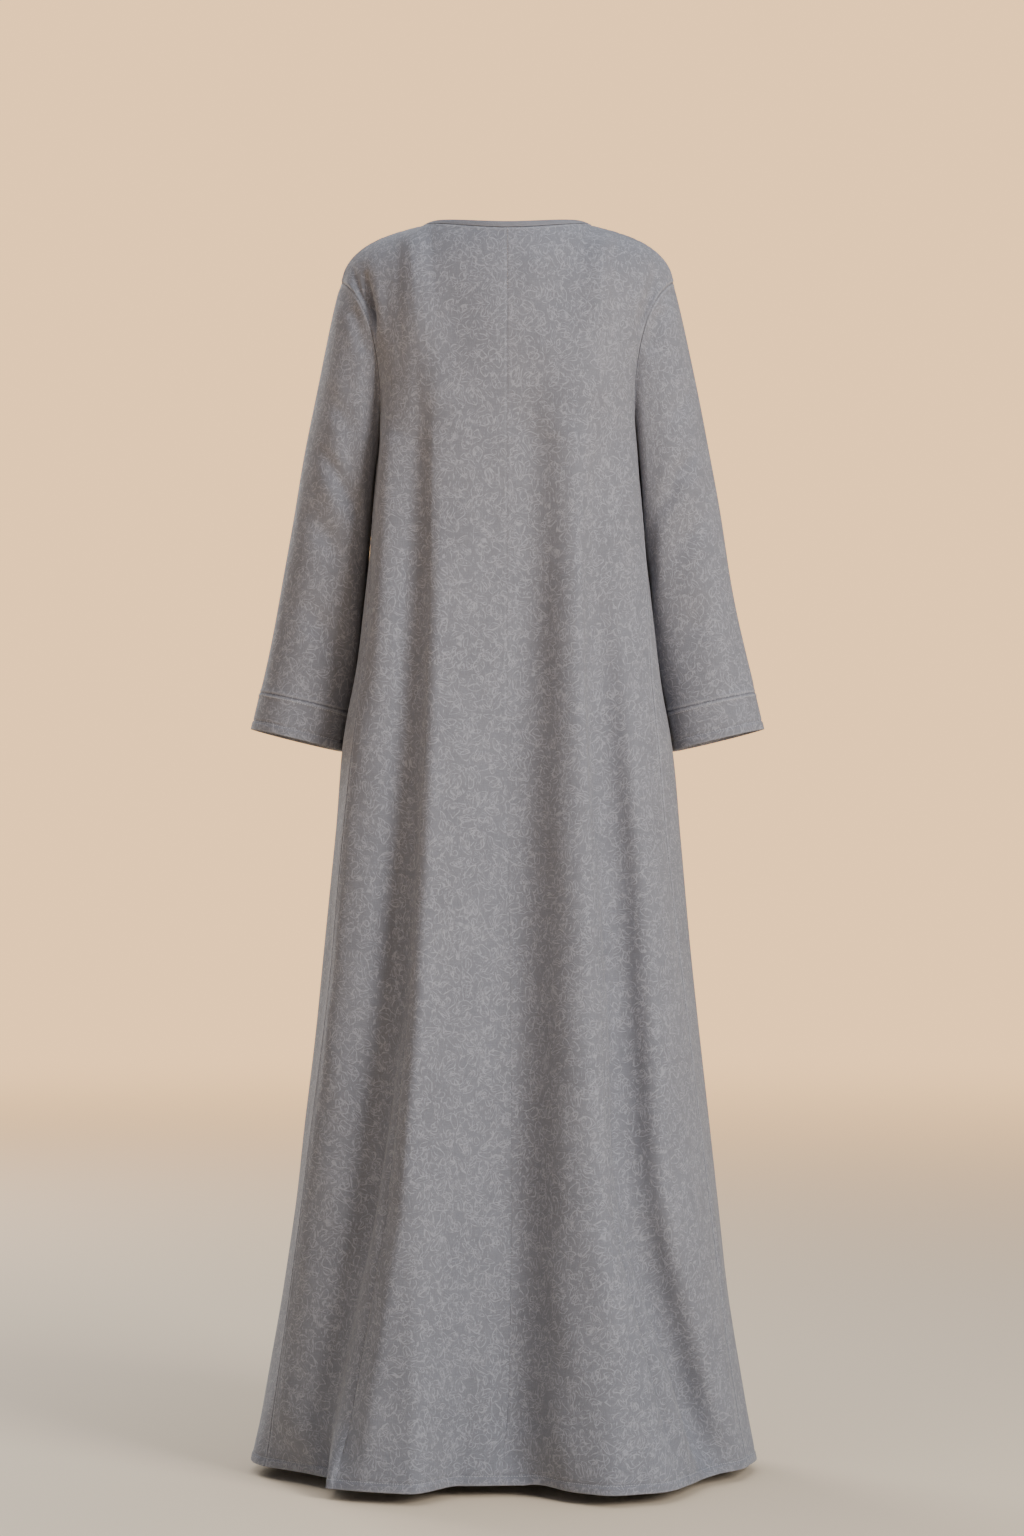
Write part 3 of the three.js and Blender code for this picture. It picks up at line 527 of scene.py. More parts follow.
YOKE_CREASES = [
    (BACK, [(187, -34, 3, 0), (181, -64, 3, -4), (175, -90, 3, -5), (168, -108, 3, -4), (157, -130, 4, 0)]),
    (BACK, [(171, -48, 4, 0), (171, -62, 4.5, -6), (169, -76, 5, -11), (166, -92, 5.5, -14),
            (164, -108, 5.5, -13), (161, -122, 4.5, -6), (158, -136, 4, 0)]),
    (BACK, [(156, -60, 8, 0), (153, -90, 9, 3.5), (150, -125, 9, 2.5), (148, -160, 9, 0)]),
    (BACK, [(193, -50, 5, 0), (187, -72, 4, 4), (180, -98, 4, 4), (168, -122, 5, 0)]),
    (BACK, [(172, -36, 7, 0), (168, -60, 8, -4), (162, -96, 8, -4), (156, -122, 7, 0)]),
    (BACK, [(-180, -30, 6, 0), (-170, -76, 6, -3), (-161, -106, 6, -3.5), (-154, -134, 6, 0)]),
    (BACK, [(-177, -50, 4, 0), (-174, -78, 4, -2), (-168, -100, 4, -2.4), (-156, -124, 4, 0)]),
    (BACK, [(-163, -46, 7, 0), (-156, -84, 8, 2), (-152, -118, 7, 0)]),
    (FRONT, [(178, -60, 8, 0), (166, -100, 9, -3), (156, -140, 8, 0)]),
    (FRONT, [(-174, -56, 8, 0), (-164, -96, 9, -3), (-154, -146, 8, 0)]),
    (FRONT, [(120, -50, 24, 0), (96, -140, 26, 3), (84, -260, 28, 3), (78, -380, 26, 0)]),
    (FRONT, [(-116, -50, 24, 0), (-98, -130, 26, 3), (-90, -240, 30, 3), (-84, -360, 26, 0)]),
]
SLEEVE_CREASES = [
    (BACK, [(199, -70, 6, 0), (202, -98, 7, 2), (203, -146, 8, 0)]),
    (BACK, [(193, -76, 6, 0), (191, -105, 7, 2), (187, -146, 8, 0)]),
    (BACK, [(187, -90, 7, 0), (183, -101, 8, -3), (172, -138, 8, -3), (168, -154, 7, 0)]),
    (BACK, [(226, -256, 7, 0), (206, -286, 9, -3.5), (188, -322, 10, -4), (174, -356, 8, 0)]),
    (BACK, [(240, -326, 12, 0), (218, -362, 13, -4), (196, -404, 12, 0)]),
    (BACK, [(234, -268, 12, 0), (214, -310, 12, 2.5), (192, -354, 10, 0)]),
    (BACK, [(244, -430, 16, 0), (224, -470, 16, -3.5), (204, -520, 14, 0)]),
    (BACK, [(216, -180, 12, 0), (202, -215, 11, -3), (186, -250, 10, 0)]),
    (FRONT, [(236, -250, 12, 0), (214, -290, 12, -4), (190, -330, 12, 0)]),
    (FRONT, [(242, -300, 12, 0), (222, -340, 12, -3), (198, -385, 12, 0)]),
]


def creases_at(p, normals, creases):
    return sum(crease_lift(p, normals, facing, path) for facing, path in creases)


def tube_normals(p):
    """The way out of a closed grid, whose last column is its first one again."""
    wrapped = np.concatenate([p[:, -2:-1], p, p[:, 1:2]], 1)
    return grid_normals(wrapped)[:, 1:-1]


# %% [markdown]
# ## Worn cloth is never quite even
# Between its folds real cloth still waves a little, and a line of stitches draws it into small ripples. Both
# are sums of sine waves. The slow ones are drawn with a fixed seed, so that every run gives the same cloth.

# %% Unevenness of worn cloth
DRIFT_WAVES = 14
DRIFT_LONG = (150, 700)
DRIFT_ACROSS = (55, 150)


def drift(across, down, seed):
    """Slow unevenness from -1 to 1: the mean of sine waves that run mostly across the cloth, so that their
    crests run mostly down it. Lengths and starts are drawn with a fixed seed."""
    draw = np.random.default_rng(seed)
    total = np.zeros(across.shape)
    for _ in range(DRIFT_WAVES):
        wide, tall = draw.uniform(*DRIFT_ACROSS), draw.uniform(*DRIFT_LONG) * draw.choice([-1, 1])
        total += np.sin(2 * math.pi * (across / wide + down / tall + draw.random()))
    return total / math.sqrt(DRIFT_WAVES)


PUCKER_LENGTHS = (7.3, 11.9, 19.7)


def pucker(along):
    """The uneven ripple that a line of stitches draws into the cloth: three sine waves of unlike lengths."""
    waves = [np.sin(2 * math.pi * along / length + length) for length in PUCKER_LENGTHS]
    return sum(waves) / len(waves)


# %% [markdown]
# ## Seams and turned hems
# Where two pieces are sewn together a soft lip stands beside the line where they meet, because the
# turnings lie underneath. The hem and the cuff's rim are turned up inside and held by one line of stitches,
# so the grid simply goes round the edge and back up on the inner side, as the real cloth does.

# %% Seam and hem shapes
CLOTH = 0.8
SEAM_LIP = 0.6
SEAM_PUCKER = 0.6
SEAM_LIP_PLACE = 3.2
SEAM_LIP_WIDTH = 1.5
# the width of the painted shade that darkens a seam's own line
SEAM_SHADE_WIDTH = 0.9
SEAM_WEAR_PLACE = 2.4
SEAM_WEAR_WIDTH = 1.2
SEAM_GAP = 0.02
HEM_TURN = 10
HEM_SWELL = 0.5
HEM_SWELL_OVER = 2
HEM_GROOVE = 1.0
HEM_GROOVE_WIDTH = 1.2
HEM_PUCKER = 0.45
HEM_PUCKER_WIDTH = 7
HEM_WEAR = 0.7
HEM_FOLD_DEPTH = 2 * CLOTH + 0.4
HEM_ROUND_ROWS = 5
HEM_INSIDE_ROWS = 7


def seam_relief(distance, along):
    """A puckered lip that stands beside the seam, a bell of the distance from it. The seam itself stays where
    the two pieces meet, so that no gap opens there."""
    return SEAM_LIP * (1 + SEAM_PUCKER * pucker(along)) * bell(distance - SEAM_LIP_PLACE, SEAM_LIP_WIDTH)


def seam_wear_and_shade(distance):
    """How much lighter the cloth is: a bell on the lip, where it is worn, less a bell of painted shade in the
    seam's line.
    """
    return bell(distance - SEAM_WEAR_PLACE, SEAM_WEAR_WIDTH) - bell(distance, SEAM_SHADE_WIDTH)


def hem_relief(up, along):
    """A turned hem: the cloth swells below the stitches, dips at them and ripples a little on both sides."""
    swell = HEM_SWELL * smooth((HEM_TURN - up) / HEM_SWELL_OVER)
    ripple = HEM_PUCKER * pucker(along) * bell(up - HEM_TURN, HEM_PUCKER_WIDTH)
    return swell + ripple - HEM_GROOVE * bell(up - HEM_TURN, HEM_GROOVE_WIDTH)


def turned_up(p, edge, normals, turn):
    """The grid and its edge values with more rows: round the last edge in a half circle, then up inside for
    the hem's turning, where the edge values are 0."""
    out = normals[-1]
    up = unit(p[-3] - p[-1])
    radius = HEM_FOLD_DEPTH / 2
    middle = p[-1] - out * radius
    added = []
    for angle in np.linspace(0, math.pi, HEM_ROUND_ROWS + 1)[1:]:
        added.append(middle + radius * (out * math.cos(angle) - up * math.sin(angle)))
    inner = added[-1]
    for share in np.linspace(0, 1, HEM_INSIDE_ROWS + 1)[1:]:
        added.append(inner + up * (turn * share))
    whole = np.concatenate([p, np.array(added)])
    return whole, np.concatenate([edge, np.zeros((len(added), edge.shape[1]))])


# %% [markdown]
# ## From a grid to a sheet of cloth
# A panel is a grid of points. Its UV map is the flat cloth that it is cut from, in metres, so that the
# pattern runs down the panel and bends with its folds. A solidify modifier gives the cloth its thickness
# on the inner side.

# %% Panel makers
def cloth_uv(p, origin_row, origin_column, shift=0):
    """The flat cloth's places in metres: the distance run across from one column, and down from one row."""
    across = run_length(p, 1)
    down = run_length(p, 0)
    across = across - across[:, [origin_column]] + shift
    down = down - down[[origin_row], :]
    return np.stack([across, -down], -1) * MM


def cloth_object(name, p, uv, edge, out_sign, closed=False, thickness=CLOTH):
    """A mesh from a grid of points in millimetres. closed joins its last column to its first, and out_sign is
    1 where the cross product of its slopes across and down points outwards."""
    if closed:
        points, edges = p[:, :-1], edge[:, :-1]
    else:
        points, edges = p, edge
    rows, columns = points.shape[:2]
    index = np.arange(rows * columns).reshape(rows, columns)
    wide = np.concatenate([index, index[:, :1]], 1) if closed else index
    quads = np.stack([wide[:-1, :-1], wide[:-1, 1:], wide[1:, 1:], wide[1:, :-1]], -1).reshape(-1, 4)
    corners = np.stack([uv[:-1, :-1], uv[:-1, 1:], uv[1:, 1:], uv[1:, :-1]], 2).reshape(-1, 4, 2)
    if out_sign < 0:
        quads, corners = quads[:, ::-1], corners[:, ::-1]
    mesh = bpy.data.meshes.new(name)
    mesh.from_pydata((points.reshape(-1, 3) * MM).tolist(), [], quads.tolist())
    mesh.uv_layers.new(name="cloth").data.foreach_set("uv", corners.reshape(-1).astype(np.float32))
    # the edge attribute: lighter where the cloth is worn, below zero where a seam's line is darkened with
    # painted shade
    attribute = mesh.attributes.new("edge", "FLOAT", "POINT")
    attribute.data.foreach_set("value", np.clip(edges, -1, 1).reshape(-1).astype(np.float32))
    mesh.polygons.foreach_set("use_smooth", np.ones(len(quads), bool))
    mesh.update()
    piece = bpy.data.objects.new(name, mesh)
    bpy.context.collection.objects.link(piece)
    wall = piece.modifiers.new("thickness", "SOLIDIFY")
    wall.thickness = thickness * MM
    wall.offset = -1
    print(name, rows, "by", columns, "points")
    return piece


def grid_area(p):
    """The area of a grid in square metres, from the cross products of its cells' diagonals."""
    diagonals = np.cross(p[1:, 1:] - p[:-1, :-1], p[1:, :-1] - p[:-1, 1:])
    return float(np.linalg.norm(diagonals, axis=-1).sum() / 2 * MM * MM)


def fine_near(count, at_start, at_end, closer=0.25, reach=0.05):
    """Places from 0 to 1, closer together near either end where it is asked."""
    at = np.linspace(0, 1, count)
    pull = np.ones(count)
    if at_start:
        pull -= (1 - closer) * bell(at, reach)
    if at_end:
        pull -= (1 - closer) * bell(1 - at, reach)
    run = np.cumsum(np.concatenate([[0], (pull[1:] + pull[:-1]) / 2]))
    return run / run[-1]


# %% [markdown]
# ## The body panels
# The back is worked out as one grid, so that both halves agree at the centre-back seam, and then it is cut in
# two there. The front is one piece. Each panel ends in its turned hem.

# %% Grid of the back and of the front
YOKE_ROWS = 110
YOKE_CLOSER = 0.4
SKIRT_ROWS = 300
BACK_HALF_COLUMNS = 110
FRONT_HALF_COLUMNS = 58
SIDE_FINENESS = 0.09
LONG_CALM_SIDE = 14
LONG_CALM_TOP = 30
YOKE_CALM_SIDE = 5
YOKE_CALM_TOP = 20
DRIFT_CALM_TOP = 60
DRIFT_HEIGHT = 0.7
CENTRE_SEAM = 0.3
# how strongly the centre-back seam shows its wear and its painted shade
CENTRE_SEAM_WEAR_AND_SHADE = 0.25
CENTRE_SEAM_LOW = 0.3
CENTRE_SEAM_FADED = -700
CENTRE_SEAM_FADE = 260
RIGHT_SHIFT = -530
FRONT_SHIFT = 1400


def body_grid(is_back, half_columns, seed):
    """The whole back or front: the body's surface, moved out along its normals by the sum of its reliefs. The
    creases and the drift calm down near the sides and the top, where the panel is sewn to others."""
    half = fine_near(half_columns, is_back, True, reach=SIDE_FINENESS)
    columns = np.concatenate([-half[::-1], half[1:]])
    yoke = fine_near(YOKE_ROWS, True, False, closer=YOKE_CLOSER)[:-1]
    downs = np.concatenate([yoke, 1 + fine_near(SKIRT_ROWS, False, True)])
    p = torso_point(is_back, columns[None, :], downs[:, None])
    normals = grid_normals(p)
    out_sign = 1 if (normals[..., 1].mean() > 0) == is_back else -1
    normals = out_sign * normals
    across, down = run_length(p, 1), run_length(p, 0)
    from_side = np.minimum(across, across[:, [-1]] - across)
    from_hem = down[[-1]] - down
    sides = smooth(from_side / LONG_CALM_SIDE)
    yoke_calm = smooth(from_side / YOKE_CALM_SIDE) * smooth(down / YOKE_CALM_TOP)
    lift = creases_at(p, normals, LONG_CREASES) * sides * smooth(down / LONG_CALM_TOP)
    lift += creases_at(p, normals, YOKE_CREASES) * yoke_calm
    lift += DRIFT_HEIGHT * drift(across, down, seed) * sides * smooth(down / DRIFT_CALM_TOP)
    relief = seam_relief(from_side, down) + hem_relief(from_hem, across) + seam_relief(down, across)
    # edge values: wear lightens the seam lips and the hem, and painted shade darkens each seam's line
    edge = seam_wear_and_shade(from_side) + HEM_WEAR * bell(from_hem, 1) + seam_wear_and_shade(down)
    if is_back:
        from_middle = np.abs(across - across[:, [half_columns - 1]])
        fade = mix(CENTRE_SEAM_LOW, 1, smooth((p[..., 2] - CENTRE_SEAM_FADED) / CENTRE_SEAM_FADE))
        relief += CENTRE_SEAM * fade * seam_relief(from_middle, down)
        # the centre-back seam's worn lip and the painted shade in its line, fainter low down
        edge += CENTRE_SEAM_WEAR_AND_SHADE * fade * seam_wear_and_shade(from_middle)
    p = p + normals * (lift + relief)[..., None]
    return p, edge, normals, out_sign


def panel(name, grid, columns, straight_column, gap, shift):
    """One panel: some columns of a grid, with its hem turned up. Its pattern runs straight down from one
    column, which the seam's gap moves aside, and starts at its own place on the cloth."""
    p, edge, normals, out_sign = grid
    p, edge, normals = p[:, columns].copy(), edge[:, columns], normals[:, columns]
    print(name, "takes", round(grid_area(p), 3), "square metres of cloth")
    p[:, straight_column, 0] += gap
    level = int(np.argmin(np.abs(p[:, p.shape[1] // 2, 2] - UNDERARM_Z)))
    whole, edge = turned_up(p, edge, normals, HEM_TURN)
    return cloth_object(name, whole, cloth_uv(whole, level, straight_column, shift), edge, out_sign)


back_grid = body_grid(True, BACK_HALF_COLUMNS, 3)
middle = BACK_HALF_COLUMNS - 1
back_left = panel("back_left_cloth", back_grid, slice(middle, None), 0, SEAM_GAP / 2, 0)
back_right = panel("back_right_cloth", back_grid, slice(0, middle + 1), -1, -SEAM_GAP / 2, RIGHT_SHIFT)
front_grid = body_grid(False, FRONT_HALF_COLUMNS, 4)
front = panel("front_cloth", front_grid, slice(None), FRONT_HALF_COLUMNS - 1, 0, FRONT_SHIFT)

# %% [markdown]
# ## The sleeves and their cuffs
# A sleeve's grid runs from the armhole to the cuff seam, and its own seam lies at the underarm. The cuff is
# a deep band with a turned rim. The right sleeve is the mirror image of the left one, as it is cut.

# %% Grids of the sleeves and cuffs
SLEEVE_TURNS = 121
SLEEVE_ROWS = 150
CUFF_ROWS = 26
CUFF_RISE = 0.5
CUFF_TURN = 9.5
SLEEVE_CALM = 16
SLEEVE_SHIFT = {1: 3000, -1: 2200}
CUFF_SHIFT = 190


def half_turned(p):
    """The grid with its first column at the underarm, where the sleeve's own seam lies."""
    half = (p.shape[1] - 1) // 2
    return np.concatenate([p[:, half:-1], p[:, :half + 1]], 1)


def tube_grid(point, rows):
    """A sleeve's or a cuff's points and ways out, the sign of its faces, and its runs across and down."""
    turns = np.linspace(0, 2 * math.pi, SLEEVE_TURNS)
    turn, along = np.broadcast_arrays(turns[None, :], fine_near(rows, True, True)[:, None])
    p = half_turned(point(turn, along))
    normals = tube_normals(p)
    out_sign = 1 if (normals * (p - p.mean(axis=1, keepdims=True))).sum() > 0 else -1
    return p, out_sign * normals, out_sign, run_length(p, 1), run_length(p, 0)


def cuff_grid():
    """The cuff's cloth before its rim is turned up, with its ways out, its worn edges and the painted shade
    at its seam.
    """
    p, normals, _, across, down = tube_grid(cuff_point, CUFF_ROWS)
    up = down[[-1]] - down
    from_seam = np.minimum(across, across[:, [-1]] - across)
    lift = CUFF_RISE + seam_relief(down, across) + hem_relief(up, across) + seam_relief(from_seam, down)
    # edge values: the worn rim, and painted shade along the cuff seam's line
    edge = seam_wear_and_shade(down) + HEM_WEAR * bell(up, 1)
    return p + normals * lift[..., None], normals, edge


def sleeve_pieces(name, side, seed):
    """One sleeve and its cuff, for the wearer's left where side is 1 and mirrored where it is -1."""
    p, normals, out_sign, across, down = tube_grid(sleeve_point, SLEEVE_ROWS)
    to_end = down[[-1]] - down
    from_seam = np.minimum(across, across[:, [-1]] - across)
    ends = smooth(down / SLEEVE_CALM) * smooth(to_end / SLEEVE_CALM)
    lift = (creases_at(p, normals, SLEEVE_CREASES) + DRIFT_HEIGHT * drift(across, down, seed)) * ends
    lift += seam_relief(down, across) + seam_relief(to_end, across) + seam_relief(from_seam, down)
    # edge values: painted shade along the sleeve's seam lines, with lighter worn lips beside them
    edge = seam_wear_and_shade(down) + seam_wear_and_shade(to_end) + seam_wear_and_shade(from_seam)
    p = (p + normals * lift[..., None]) * (side, 1, 1)
    c, c_normals, c_edge = cuff_grid()
    print("a cuff is", round(float(run_length(c, 1)[:, -1].max())), "mm round")
    c, c_edge = turned_up(c, c_edge, c_normals, CUFF_TURN)
    c = c * (side, 1, 1)
    print("a sleeve takes", round(grid_area(p), 3), "square metres of cloth")
    half, shift, sign = SLEEVE_TURNS // 2, SLEEVE_SHIFT[side], side * out_sign
    sleeve = cloth_object(f"sleeve_{name}_cloth", p, cloth_uv(p, -1, half, shift), edge, sign, True)
    cuff = cloth_object(f"cuff_{name}_cloth", c, cloth_uv(c, 0, half, shift + CUFF_SHIFT), c_edge, sign, True)
    return sleeve, cuff


sleeve_left, cuff_left = sleeve_pieces("left", 1, 7)
sleeve_right, cuff_right = sleeve_pieces("right", -1, 8)

# %% [markdown]
# ## The neck band
# The band is a narrow strip of the same cloth, folded over at its top edge and sewn to the neckline. It
# stands nearly upright at the middle of the back and lies nearly flat at the shoulder seams.

# %% Grid of the neck band
BAND_HEIGHT = 7.6
BAND_GAP = 0.5
BAND_CROWN = 0.4
BAND_FOLD_DEPTH = 2
BAND_THICKNESS = 0.6
BAND_LEAN_MIDDLE = 0.3
BAND_LEAN_SIDE = 0.96
BAND_ROUND_FROM = 0.8
BAND_RIPPLE = dict(height=0.15, place=0.25, width=0.2)
BAND_WEAR = 0.8
BAND_FOLD_WEAR_WIDTH = 0.06
BAND_SEAM_WEAR_WIDTH = 0.04
BAND_TURNS = 361
BAND_ROWS = 29
BAND_SHIFT = 3900


def neck_seam(turn):
    return np.where((np.cos(turn) >= 0)[..., None], neck_point(True, turn), neck_point(False, turn))


def band_frame(turn):
    """The band's lean and its way out at a turn: the lean tips inwards, most of all on the shoulders."""
    side = np.abs(np.sin(turn))
    inward = mix(BAND_LEAN_MIDDLE, BAND_LEAN_SIDE, side ** 2)
    lean = xyz(-np.sin(turn) * inward, -np.cos(turn) * inward, np.sqrt(1 - inward * inward))
    seam = unit(neck_seam(turn + ANGLE_STEP) - neck_seam(turn - ANGLE_STEP))
    out = unit(np.cross(seam, lean))
    wrong = out[..., 0] * np.sin(turn) + out[..., 1] * np.cos(turn) + out[..., 2] < 0
    return lean, np.where(wrong[..., None], -out, out)


def band_grid(turn, way):
    """The band, a strip folded over at its top edge. way is 0 at the outer seam, 0.5 at the fold and 1 at the
    inner seam: the height rises and falls with a rounded top, and the depth goes from 0 to the fold's."""
    lean, out = band_frame(turn)
    share = 1 - np.abs(2 * way - 1)
    over = np.clip((share - BAND_ROUND_FROM) / (1 - BAND_ROUND_FROM), 0, 1)
    rise = np.where(share < BAND_ROUND_FROM, share, mix(BAND_ROUND_FROM, 1, np.sin(over * QUARTER)))
    height = BAND_GAP + (BAND_HEIGHT - BAND_GAP) * rise
    face = np.where(way < 0.5, 0.5, -0.5) * BAND_FOLD_DEPTH * np.cos(over * QUARTER)
    ripple = BAND_RIPPLE["height"] * pucker(turn * (NECK_HALF_WIDTH + NECK_BACK_Y) / 2)
    ripple = ripple * bell(share - BAND_RIPPLE["place"], BAND_RIPPLE["width"])
    crown = np.where(way < 0.5, 1, 0) * (BAND_CROWN * np.sin(math.pi * share) + ripple)
    return neck_seam(turn) + lean * height[..., None] + out * (crown + face - BAND_FOLD_DEPTH / 2)[..., None]


turn, way = np.broadcast_arrays(
    np.linspace(0, 2 * math.pi, BAND_TURNS)[None, :], np.linspace(0, 1, BAND_ROWS)[:, None]
)
band_p = band_grid(turn, way)
band_edge = BAND_WEAR * (bell(way - 0.5, BAND_FOLD_WEAR_WIDTH) + bell(way, BAND_SEAM_WEAR_WIDTH))
band_uv = cloth_uv(band_p, 0, 0, BAND_SHIFT)
band = cloth_object("neck_band_cloth", band_p, band_uv, band_edge, 1, True, BAND_THICKNESS)
print("the neck band is", round(float(run_length(band_p, 1)[0, -1] * MM), 3), "m round")

# %% [markdown]
# ## Stitches
# The hem, the cuffs and the neck band are held by machine stitches: short lengths of thread that lie on the
# cloth and dip into it at both ends. One small bead of thread is worked out once and laid along each line.

# %% Lines of stitches
STITCH_PITCH = 3.1
STITCH_LENGTH = 2.3
STITCH_RADIUS = 0.4
STITCH_SIDES = 6
STITCH_RINGS = 5
STITCH_FULLNESS = 1.05
STITCH_SINK = 0.2
STITCH_LOOK_AHEAD = 0.4
CUFF_SEAM_STITCH = 42
BAND_STITCH_WAY = 0.09


def bead():
    """One stitch along X: rings of a circle whose radius is a bent sine wave, sunk at both ends."""
    at = np.linspace(-1, 1, STITCH_RINGS)
    angle = np.linspace(0, 2 * math.pi, STITCH_SIDES, endpoint=False)
    radius = STITCH_RADIUS * np.sqrt(np.clip(STITCH_FULLNESS - at * at, 0, None))[:, None]
    x = np.broadcast_to(at[:, None] * STITCH_LENGTH / 2, (STITCH_RINGS, STITCH_SIDES))
    z = radius * np.sin(angle) - STITCH_SINK * at[:, None] ** 2
    points = xyz(x, radius * np.cos(angle), z).reshape(-1, 3)
    index = np.arange(len(points)).reshape(STITCH_RINGS, STITCH_SIDES)
    turned = np.roll(index, -1, axis=1)
    quads = np.stack([index[:-1], turned[:-1], turned[1:], index[1:]], -1).reshape(-1, 4)
    caps = [index[0, ::-1].tolist(), index[-1].tolist()]
    return points, quads, caps


def at_run(values, run, places):
    """A path's values at places along its run, each on the straight line between two of its points."""
    return np.stack([np.interp(places, run, values[:, k]) for k in range(3)], -1)


def stitch_line(name, path, outs):
    """Stitches along a closed path of points, each turned to lie along it with its back to the cloth."""
    run = np.concatenate([[0], np.cumsum(np.linalg.norm(np.diff(path, axis=0), axis=1))])
    count = int(run[-1] / STITCH_PITCH)
    places = (np.arange(count) + 0.5) * run[-1] / count
    centre = at_run(path, run, places)
    ahead, behind = places + STITCH_LOOK_AHEAD, places - STITCH_LOOK_AHEAD
    along = unit(at_run(path, run, ahead) - at_run(path, run, behind))
    up = at_run(outs, run, places)
    up = unit(up - along * (up * along).sum(1, keepdims=True))
    side = np.cross(up, along)
    points, quads, caps = bead()
    placed = (centre[:, None] + points[None, :, :1] * along[:, None] + points[None, :, 1:2] * side[:, None]
              + points[None, :, 2:] * up[:, None])
    size = len(points)
    faces = (quads[None] + np.arange(count)[:, None, None] * size).reshape(-1, 4).tolist()
    for cap in caps:
        faces += (np.array(cap)[None] + np.arange(count)[:, None] * size).tolist()
    mesh = bpy.data.meshes.new(name)
    mesh.from_pydata((placed.reshape(-1, 3) * MM).tolist(), [], faces)
    mesh.polygons.foreach_set("use_smooth", np.ones(len(faces), bool))
    mesh.update()
    line = bpy.data.objects.new(name, mesh)
    bpy.context.collection.objects.link(line)
    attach(line, "root")
    print(name, count, "stitches")
    return line


def level_line(p, normals, up_from_end):
    """The points and ways out of a grid at a distance up from its last row, between the rows next to it."""
    down = run_length(p, 0)
    height = down[-1] - up_from_end
    row = np.sum(down < height, axis=0)
    columns = np.arange(p.shape[1])
    below, above = down[row, columns], down[row - 1, columns]
    t = ((height - above) / (below - above))[:, None]
    return mix(p[row - 1, columns], p[row, columns], t), normals[row, columns]


def closed_line(*parts):
    line = np.concatenate(parts)
    return np.concatenate([line, line[:1]])


hem_back, hem_back_out = level_line(back_grid[0], back_grid[2], HEM_TURN)
hem_front, hem_front_out = level_line(front_grid[0], front_grid[2], HEM_TURN)
thread = 0.5 * STITCH_RADIUS
hem_path = closed_line(hem_back + thread * hem_back_out, (hem_front + thread * hem_front_out)[::-1])
hem_stitches = stitch_line("hem_stitches", hem_path, closed_line(hem_back_out, hem_front_out[::-1]))


def cuff_stitches(name, side, up):
    """A line of stitches round a cuff, at a distance up from its rim."""
    p, normals, _ = cuff_grid()
    path, outs = level_line(p, normals, up)
    path = path + thread * outs
    return stitch_line(name, path * (side, 1, 1), outs * (side, 1, 1))


cuff_lines = {}
for name, side in (("left", 1), ("right", -1)):
    cuff_lines[name] = [
        cuff_stitches(f"cuff_{name}_rim_stitches", side, CUFF_TURN),
        cuff_stitches(f"cuff_{name}_seam_stitches", side, CUFF_SEAM_STITCH),
    ]

band_turns = np.linspace(0, 2 * math.pi, BAND_TURNS)
band_path = band_grid(band_turns, np.full_like(band_turns, BAND_STITCH_WAY))
band_out = band_frame(band_turns)[1]
band_stitches = stitch_line("neck_band_stitches", band_path + thread * band_out, band_out)

# %% [markdown]
# ## What each piece stands for
# Every piece rides on the one body and stands in the place of its solid, which is hidden.


def declare(piece, node):
    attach(piece, "root")
    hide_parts(node)


declare(back_left, "back_left")
declare(back_right, "back_right")
declare(front, "front")
declare(sleeve_left, "sleeve_left")
declare(sleeve_right, "sleeve_right")
declare(cuff_left, "cuff_left")
declare(cuff_right, "cuff_right")
declare(band, "neck_band")

# %% [markdown]
# ## Shader maths in plain Python
# A material is a net of small nodes. Here a socket can be added, multiplied or compared like a number, and
# each sign adds the node that does it, so a formula reads as a formula.

# %% A small class for shader maths
class Value:
    """A socket of a node tree that carries a number or a vector."""

    def __init__(self, tree, socket):
        self.tree = tree
        self.socket = socket

    def math(self, operation, *others):
        return node(self.tree, "ShaderNodeMath", {"operation": operation}, [self, *others])[0]

    def __add__(self, other):
        return self.math("ADD", other)

    __radd__ = __add__

    def __sub__(self, other):
        return self.math("SUBTRACT", other)

    def __rsub__(self, other):
        return node(self.tree, "ShaderNodeMath", {"operation": "SUBTRACT"}, [other, self])[0]

    def __mul__(self, other):
        return self.math("MULTIPLY", other)

    __rmul__ = __mul__

    def __truediv__(self, other):
        return self.math("DIVIDE", other)

    def vector(self, operation, *others):
        return node(self.tree, "ShaderNodeVectorMath", {"operation": operation}, [self, *others])


def node(tree, kind, settings=None, values=()):
    """Adds a node, sets its settings, feeds its sockets by place or by name and returns its outputs."""
    made = tree.nodes.new(kind)
    for name, value in (settings or {}).items():
        setattr(made, name, value)
    pairs = values.items() if isinstance(values, dict) else enumerate(values)
    for key, value in pairs:
        if isinstance(value, Value):
            tree.links.new(value.socket, made.inputs[key])
        elif value is not None:
            made.inputs[key].default_value = value
    return [Value(tree, socket) for socket in made.outputs]


def outputs(tree, kind, settings=None, values=()):
    """The same, with the outputs by name."""
    made = node(tree, kind, settings, values)
    return {value.socket.name: value for value in made}


def mix_colour(factor, colour, other):
    """Colour where the factor is 0 and the other one where it is 1."""
    values = {"Factor": factor, 6: (*colour, 1), 7: (*other, 1)}
    return node(factor.tree, "ShaderNodeMix", {"data_type": "RGBA"}, values)[2]


def scaled_by(place, factor):
    return node(place.tree, "ShaderNodeVectorMath", {"operation": "SCALE"}, {0: place, "Scale": factor})[0]


def step_between(value, low, high):
    """0 below low and 1 above high, with a soft step between them."""
    return node(value.tree, "ShaderNodeMapRange", {"interpolation_type": "SMOOTHSTEP"},
                {"Value": value, "From Min": low, "From Max": high})[0]


